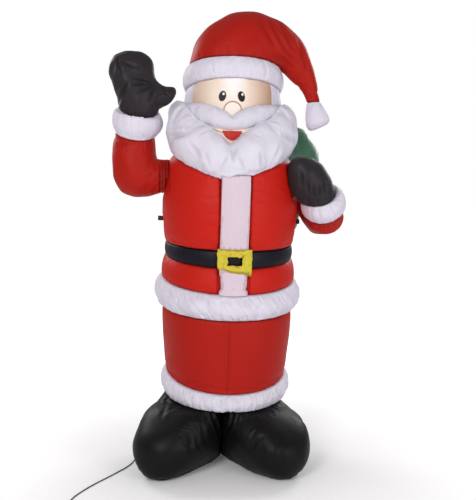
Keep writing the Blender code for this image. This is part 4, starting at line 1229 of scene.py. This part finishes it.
class SANTA_OT_body(bpy.types.Operator):
    """Stacked lobes of the body, from the ankle trim to the shoulders"""

    bl_idname = "santa.body"
    bl_label = "Body"

    def execute(self, context):
        body = sizes().body_grain
        fine = sizes().limb_grain
        lobes = add_lobes(
            ["jacket", "jacket_skirt"], body, 0.006, 0.010, "red", "red", 16, BODY_FACETS)
        lobes += add_lobes(["trousers"], body, 0.006, 0.010, "shaded red", "red", 16, BODY_FACETS)
        lobes += add_lobes(
            ["hem_trim", "leg_trim"], fine, 0.012, 0.04, "trim", "trim", 8, TRIM_FACETS)
        lobes += add_lobes(["belt"], fine, 0.003, 0.006, "belt", "belt", 6, BODY_FACETS)
        pieces = make_lobes(lobes)
        centre = on_figure(0, 0, 0)
        axis = FIGURE.to_3x3() @ UP
        depth = sizes().gather_depth
        gather(pieces["hem_trim"], centre, axis, 92, depth * 1.2, 0.022, 11, slant=1.6)
        gather(pieces["hem_trim"], centre, axis, 37, depth, 0.040, 12, slant=2.2)
        gather(pieces["leg_trim"], centre, axis, 96, depth, 0.018, 13)
        gather(pieces["leg_trim"], centre, axis, 37, depth * 0.8, 0.034, 14, slant=1.0)
        gather(pieces["jacket"], centre, axis, 60, depth * 0.2, 0.012, 15, shade=0.08)
        gather(pieces["trousers"], centre, axis, 64, depth * 0.2, 0.012, 16, shade=0.08)
        gather(pieces["jacket_skirt"], centre, axis, 58, depth * 0.2, 0.012, 17, shade=0.08)
        # Folds where the raised sleeve meets the jacket, with strong painted shade
        for x, z in SHOULDER_FOLDS:
            front_crease(pieces["jacket"], (x, z), (x + 0.004, z - 0.15), 0.005, 0.006, 0.5, 0.9)
        for lobe in (pieces["jacket"], pieces["jacket_skirt"]):
            tuck_behind_band(lobe)
        unevenness(pieces["jacket"], 0.002, 0.35, 21)
        unevenness(pieces["trousers"], 0.002, 0.30, 22)
        unevenness(pieces["hem_trim"], 0.003, 0.12, 23)
        unevenness(pieces["leg_trim"], 0.0025, 0.10, 24)
        front_crease(pieces["trousers"], (-0.014, 0.38), (-0.014, 0.90), 0.004, 0.0025, 0.3, 0.45)
        for lobe in lobes:
            close_lobe(lobe)
        return {"FINISHED"}


class SANTA_OT_front(bpy.types.Operator):
    """White band down the jacket's front, and the buckle"""

    bl_idname = "santa.front"
    bl_label = "Front band and buckle"

    def execute(self, context):
        lobes = add_lobes(
            ["placket_lower", "placket_upper"], None, 0.002, 0.004, "placket", "placket", 0)
        lobes += add_lobes(["buckle"], None, 0.008, 0.10, "gold", "buckle", 2)
        pieces = make_lobes(lobes)
        buckle = pieces["buckle"]
        low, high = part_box("buckle")
        centre = (low + high) / 2
        self.slump(buckle, low, high)
        gather(buckle, centre, (0, 1, 0), 17, 0.002, 0.016, 31)
        unevenness(buckle, 0.006, 0.045, 32)
        for lobe in lobes:
            close_lobe(lobe)
        return {"FINISHED"}


    def slump(self, buckle, low, high):
        """The pad hangs a little, and its lower left corner is folded up."""
        points = read_points(buckle)
        across = (points[:, 0] - (low.x + high.x) / 2) / ((high.x - low.x) / 2)
        up = (points[:, 2] - (low.z + high.z) / 2) / ((high.z - low.z) / 2)
        bottom = soft_step(-up, 0.35, 1.0)
        corner = 0.022 * soft_step(-across, 0.1, 0.9) - 0.009 * soft_step(across, -0.3, 0.8)
        points[:, 2] += bottom * corner - 0.004 - 0.006 * soft_step(up, 0.35, 1.0)
        points[:, 0] += 0.004 + 0.006 * bottom * soft_step(-across, 0.1, 0.9)
        write_points(buckle, points)


class SANTA_OT_head(bpy.types.Operator):
    """Face panels, hair, moustache and beard"""

    bl_idname = "santa.head"
    bl_label = "Head"

    def execute(self, context):
        small = sizes().small_grain
        fine = sizes().limb_grain
        lobes = add_lobes(["face"], fine, 0.006, 0.01, "face", "skin", 6)
        lobes += add_lobes(["hair"], fine, 0.008, 0.02, "hair", "hair", 8)
        lobes += add_lobes(["mouth"], small, 0.006, 0.02, "mouth", "skin", 2)
        lobes += add_lobes(["moustache"], small, 0.010, 0.02, "moustache", "moustache", 8)
        lobes += add_lobes(["beard"], fine, 0.016, 0.05, "beard", "beard", 16)
        pieces = make_lobes(lobes)
        centre = HEAD @ Vector((0, 0, 1.7))
        axis = HEAD.to_3x3() @ UP
        depth = sizes().gather_depth
        beard = pieces["beard"]
        self.lift_ends(beard)
        gather(beard, centre, axis, 34, depth * 0.6, 0.03, 41, slant=1.5, sharp=1.5, shade=0.12)
        fold(beard, BEARD_FOLDS, 0.5, 0.3)
        unevenness(beard, 0.005, 0.15, 42)
        self.notch_moustache(pieces["moustache"])
        gather(pieces["moustache"], centre, axis, 44, depth * 0.3, 0.012, 43, shade=0.1)
        gather(pieces["hair"], centre, axis, 60, depth * 0.7, 0.02, 44, shade=0.12)
        for lobe in lobes:
            close_lobe(lobe)
        return {"FINISHED"}

    def lift_ends(self, beard):
        """The beard's two ends reach up to the hat's band, and its front closes in on the mouth."""
        spots = figure_points(beard)
        points = read_points(beard)
        outer = soft_step(np.abs(spots[:, 0] + 0.01), 0.17, 0.25)
        points[:, 2] += 0.030 * outer * soft_step(spots[:, 2], 1.76, 1.86)
        across = np.abs(spots[:, 0] - MIDLINE)
        beside = soft_step(across, 0.012, 0.055) * (1 - soft_step(across, 0.13, 0.20))
        front = soft_step(spots[:, 2], 1.60, 1.70) * (spots[:, 1] < -0.1)
        points[:, 2] += 0.013 * beside * front
        write_points(beard, points)

    def notch_moustache(self, moustache):
        """Its upper edge dips under the nose."""
        spots = figure_points(moustache)
        points = read_points(moustache)
        across = np.abs(spots[:, 0] - MIDLINE)
        notch = np.exp(-(across / 0.022) ** 2) * soft_step(spots[:, 2], 1.80, 1.84)
        points[:, 2] -= 0.016 * notch
        write_points(moustache, points)


class SANTA_OT_hat(bpy.types.Operator):
    """Hat, its white band and its tail"""

    bl_idname = "santa.hat"
    bl_label = "Hat"

    def execute(self, context):
        fine = sizes().limb_grain
        lobes = add_lobes(["hat"], fine, 0.009, 0.02, "shaded red", "red", 110)
        lobes += add_lobes(["hat_band"], fine, 0.010, 0.03, "trim", "trim", 8, TRIM_FACETS)
        lobes += add_lobes(["pompom"], sizes().small_grain, 0.008, 0.03, "trim", "trim", 8)
        pieces = make_lobes(lobes)
        centre = on_figure(0, 0, 2.1)
        axis = FIGURE.to_3x3() @ UP
        depth = sizes().gather_depth
        gather(
            pieces["hat_band"], centre, axis, 66, depth * 0.45, 0.016, 51, slant=0.8, shade=0.12)
        gather(pieces["hat"], centre, axis, 56, depth * 0.2, 0.015, 52, shade=0.08)
        tail = on_figure(0.45, 0, 1.9)
        gather(pieces["pompom"], tail, axis, 16, depth * 0.7, 0.014, 53)
        fold(pieces["hat"], HAT_FOLDS, 0.4, 0.25)
        unevenness(pieces["hat"], 0.003, 0.20, 54)
        for lobe in lobes:
            close_lobe(lobe)
        return {"FINISHED"}


class SANTA_OT_arms(bpy.types.Operator):
    """Raised and lowered arm with cuffs and mittens"""

    bl_idname = "santa.arms"
    bl_label = "Arms"

    def execute(self, context):
        fine = sizes().limb_grain
        lobes = add_lobes(["raised_sleeve", "lowered_sleeve"], fine, 0.008, 0.03, "shaded red", "red", 40)
        lobes += add_lobes(["raised_cuff", "lowered_cuff"], fine * 0.8, 0.006, 0.04, "trim", "trim")
        lobes += add_lobes(
            ["raised_mitten", "lowered_mitten"], fine, 0.007, 0.04, "glove", "mittens", 26)
        pieces = make_lobes(lobes)
        depth = sizes().gather_depth
        raised = on_figure(-0.51, -0.03, 1.85)
        for name, count in (("raised_cuff", 34), ("raised_mitten", 26), ("raised_sleeve", 22)):
            gather(pieces[name], raised, (0, 0, 1), count, depth * 0.6, 0.018, 61 + count)
        mitten = pieces["raised_mitten"]
        fold(mitten, RAISED_MITTEN_FOLDS, 0.5, 0.5)
        unevenness(mitten, 0.0035, 0.09, 60)
        sleeve = pieces["raised_sleeve"]
        # Folds at the sleeve's root, with strong painted shade
        for x, z in SLEEVE_ROOT_FOLDS:
            front_crease(sleeve, (x, z), (x + 0.003, z - 0.17), 0.005, 0.007, 0.5, 1.0)
        fold(sleeve, ELBOW_FOLDS, 0.5, 0.12)
        unevenness(sleeve, 0.003, 0.16, 63)
        lowered = on_figure(0.48, -0.12, 1.42)
        way = (-0.33, -0.5, 0.75)
        for name, count in (("lowered_cuff", 34), ("lowered_mitten", 26), ("lowered_sleeve", 22)):
            gather(pieces[name], lowered, way, count, depth * 0.7, 0.018, 71 + count)
        fold(pieces["lowered_mitten"], LOWERED_MITTEN_FOLDS, 0.5, 0.5)
        unevenness(pieces["lowered_mitten"], 0.0035, 0.10, 64)
        unevenness(pieces["lowered_sleeve"], 0.003, 0.10, 65)
        for lobe in lobes:
            close_lobe(lobe)
        return {"FINISHED"}


class SANTA_OT_sack(bpy.types.Operator):
    """Satin sack down the back"""

    bl_idname = "santa.sack"
    bl_label = "Sack"

    def execute(self, context):
        lobes = add_lobes(["sack"], sizes().body_grain, 0.010, 0.04, "satin", "sack", 70)
        pieces = make_lobes(lobes)
        centre = on_figure(0.24, 0.3, 1.5)
        axis = FIGURE.to_3x3() @ UP
        self.tuck_behind_arm(pieces["sack"])
        gather(pieces["sack"], centre, axis, 22, 0.0025, 0.05, 81)
        unevenness(pieces["sack"], 0.002, 0.20, 82)
        for lobe in lobes:
            close_lobe(lobe)
        return {"FINISHED"}


    def tuck_behind_arm(self, sack):
        """Its lower end narrows behind the lowered arm."""
        points = read_points(sack)
        limit = 0.40 + 0.2 * soft_step(points[:, 2], 1.34, 1.52)
        over = np.maximum(points[:, 0] - limit, 0.0)
        points[:, 0] -= over - 0.02 * np.tanh(over / 0.02)
        write_points(sack, points)


class SANTA_OT_boots(bpy.types.Operator):
    """Two balloon boots"""

    bl_idname = "santa.boots"
    bl_label = "Boots"

    def execute(self, context):
        lobes = add_lobes(
            ["left_boot", "right_boot"], sizes().limb_grain * 1.1, 0.010, 0.04, "black", "boots", 90)
        pieces = make_lobes(lobes)
        centre = on_figure(0, 0, 0)
        axis = FIGURE.to_3x3() @ UP
        for name in ("left_boot", "right_boot"):
            self.round_toe(pieces[name])
            gather(pieces[name], centre, axis, 60, 0.003, 0.02, 91)
            fold(pieces[name], BOOT_FOLDS[name], 0.5, 0.4)
            unevenness(pieces[name], 0.003, 0.20, 92)
        for lobe in lobes:
            close_lobe(lobe)
        return {"FINISHED"}


    def round_toe(self, boot):
        """Air lifts the outer side of the toe cap, so that it stands out roundly."""
        spots = figure_points(boot)
        points = read_points(boot)
        lift = np.exp(-((spots[:, 2] - 0.27) / 0.07) ** 2)
        lift *= soft_step(np.abs(spots[:, 0]), 0.24, 0.40)
        points[:, 0] += 0.024 * lift * np.sign(spots[:, 0])
        points[:, 2] += 0.010 * lift
        write_points(boot, points)


class SANTA_OT_tethers(bpy.types.Operator):
    """Webbing loops at the jacket's sides"""

    bl_idname = "santa.tethers"
    bl_label = "Tether loops"

    def execute(self, context):
        for side in ("left", "right"):
            node = side + "_tether_loop"
            piece = node_copy(node, side + "_webbing")
            soft = piece.modifiers.new("soft edge", "BEVEL")
            soft.width = 0.0007
            soft.segments = 2
            soft.limit_method = "ANGLE"
            apply_modifiers(piece)
            bpy.ops.object.shade_smooth_by_angle(angle=math.radians(40))
            finish_piece(piece, MATERIALS["webbing"], (node,))
        return {"FINISHED"}


class SANTA_OT_blower(bpy.types.Operator):
    """Blower at the heels"""

    bl_idname = "santa.blower"
    bl_label = "Blower"

    def execute(self, context):
        for node in ("blower_housing", "blower_grille"):
            piece = node_copy(node, node + "_moulded")
            soft = piece.modifiers.new("soft edge", "BEVEL")
            soft.width = 0.0012
            soft.segments = 2
            soft.limit_method = "ANGLE"
            apply_modifiers(piece)
            bpy.ops.object.shade_smooth_by_angle(angle=math.radians(30))
            finish_piece(piece, MATERIALS["housing"], (node,))
        low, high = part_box("blower_grille")
        self.add_guard((low + high) / 2, high.y, (high.x - low.x) / 2)
        self.add_screws((low + high) / 2, low.y)
        return {"FINISHED"}

    def add_guard(self, centre, y, reach):
        """Three rings, six spokes and a hub in front of the intake."""
        parts = []
        bpy.ops.object.select_all(action="DESELECT")
        for share in (0.34, 0.60, 0.86):
            bpy.ops.mesh.primitive_torus_add(
                major_segments=64, minor_segments=10, major_radius=reach * share, minor_radius=0.0016,
                location=(centre.x, y + 0.0006, centre.z), rotation=(math.pi / 2, 0, 0))
            parts.append(bpy.context.object)
        for turn in range(6):
            bpy.ops.mesh.primitive_cylinder_add(
                vertices=12, radius=0.0015, depth=reach * 0.74,
                location=(centre.x + reach * 0.49 * math.sin(turn * math.pi / 3), y + 0.0006,
                          centre.z + reach * 0.49 * math.cos(turn * math.pi / 3)),
                rotation=(0, turn * math.pi / 3, 0))
            parts.append(bpy.context.object)
        bpy.ops.mesh.primitive_cylinder_add(
            vertices=40, radius=reach * 0.15, depth=0.005, location=(centre.x, y + 0.0012, centre.z),
            rotation=(math.pi / 2, 0, 0))
        hub = bpy.context.object
        for part in parts:
            part.select_set(True)
        bpy.context.view_layer.objects.active = hub
        bpy.ops.object.join()
        hub.name = "blower_guard"
        bpy.ops.object.transform_apply(location=True, rotation=True, scale=True)
        bpy.ops.object.shade_smooth_by_angle(angle=math.radians(35))
        finish_piece(hub, MATERIALS["housing"])

    def add_screws(self, centre, y):
        """Four pan-head screws round the intake."""
        heads = []
        bpy.ops.object.select_all(action="DESELECT")
        for turn in range(4):
            angle = math.pi / 4 + turn * math.pi / 2
            bpy.ops.mesh.primitive_uv_sphere_add(
                segments=20, ring_count=10, radius=0.0034,
                location=(centre.x + SCREW_CIRCLE * math.cos(angle), y + 0.004,
                          centre.z + SCREW_CIRCLE * math.sin(angle)),
                scale=(1, 0.5, 1))
            heads.append(bpy.context.object)
        for head in heads:
            head.select_set(True)
        bpy.ops.object.join()
        screws = bpy.context.object
        screws.name = "blower_screws"
        bpy.ops.object.transform_apply(location=True, rotation=True, scale=True)
        bpy.ops.object.shade_smooth()
        finish_piece(screws, MATERIALS["brass"])


OPERATORS = (
    SANTA_OT_stage, SANTA_OT_lead, SANTA_OT_body, SANTA_OT_front, SANTA_OT_head, SANTA_OT_hat,
    SANTA_OT_arms, SANTA_OT_sack, SANTA_OT_boots, SANTA_OT_tethers, SANTA_OT_blower)


class SANTA_PT_panel(bpy.types.Panel):
    """Sizes, colours and the steps in order"""

    bl_idname = "SANTA_PT_panel"
    bl_label = "Inflatable Santa"
    bl_space_type = "VIEW_3D"
    bl_region_type = "UI"
    bl_category = "Santa"

    def draw(self, context):
        layout = self.layout
        for group in (context.scene.santa_sizes, context.scene.santa_colours):
            box = layout.box()
            for name in group.bl_rna.properties.keys():
                if name not in ("rna_type", "name"):
                    box.prop(group, name)
        for operator in OPERATORS:
            layout.operator(operator.bl_idname)


CLASSES = (SantaSizes, SantaColours, *OPERATORS, SANTA_PT_panel)


def register():
    for cls in CLASSES:
        bpy.utils.register_class(cls)
    bpy.types.Scene.santa_sizes = bpy.props.PointerProperty(type=SantaSizes)
    bpy.types.Scene.santa_colours = bpy.props.PointerProperty(type=SantaColours)


def unregister():
    del bpy.types.Scene.santa_colours
    del bpy.types.Scene.santa_sizes
    for cls in reversed(CLASSES):
        bpy.utils.unregister_class(cls)


def main():
    register()
    bpy.ops.santa.stage()
    bpy.ops.santa.lead()
    bpy.ops.santa.body()
    bpy.ops.santa.front()
    bpy.ops.santa.head()
    bpy.ops.santa.hat()
    bpy.ops.santa.arms()
    bpy.ops.santa.sack()
    bpy.ops.santa.boots()
    bpy.ops.santa.tethers()
    bpy.ops.santa.blower()


if __name__ == "__main__":
    main()
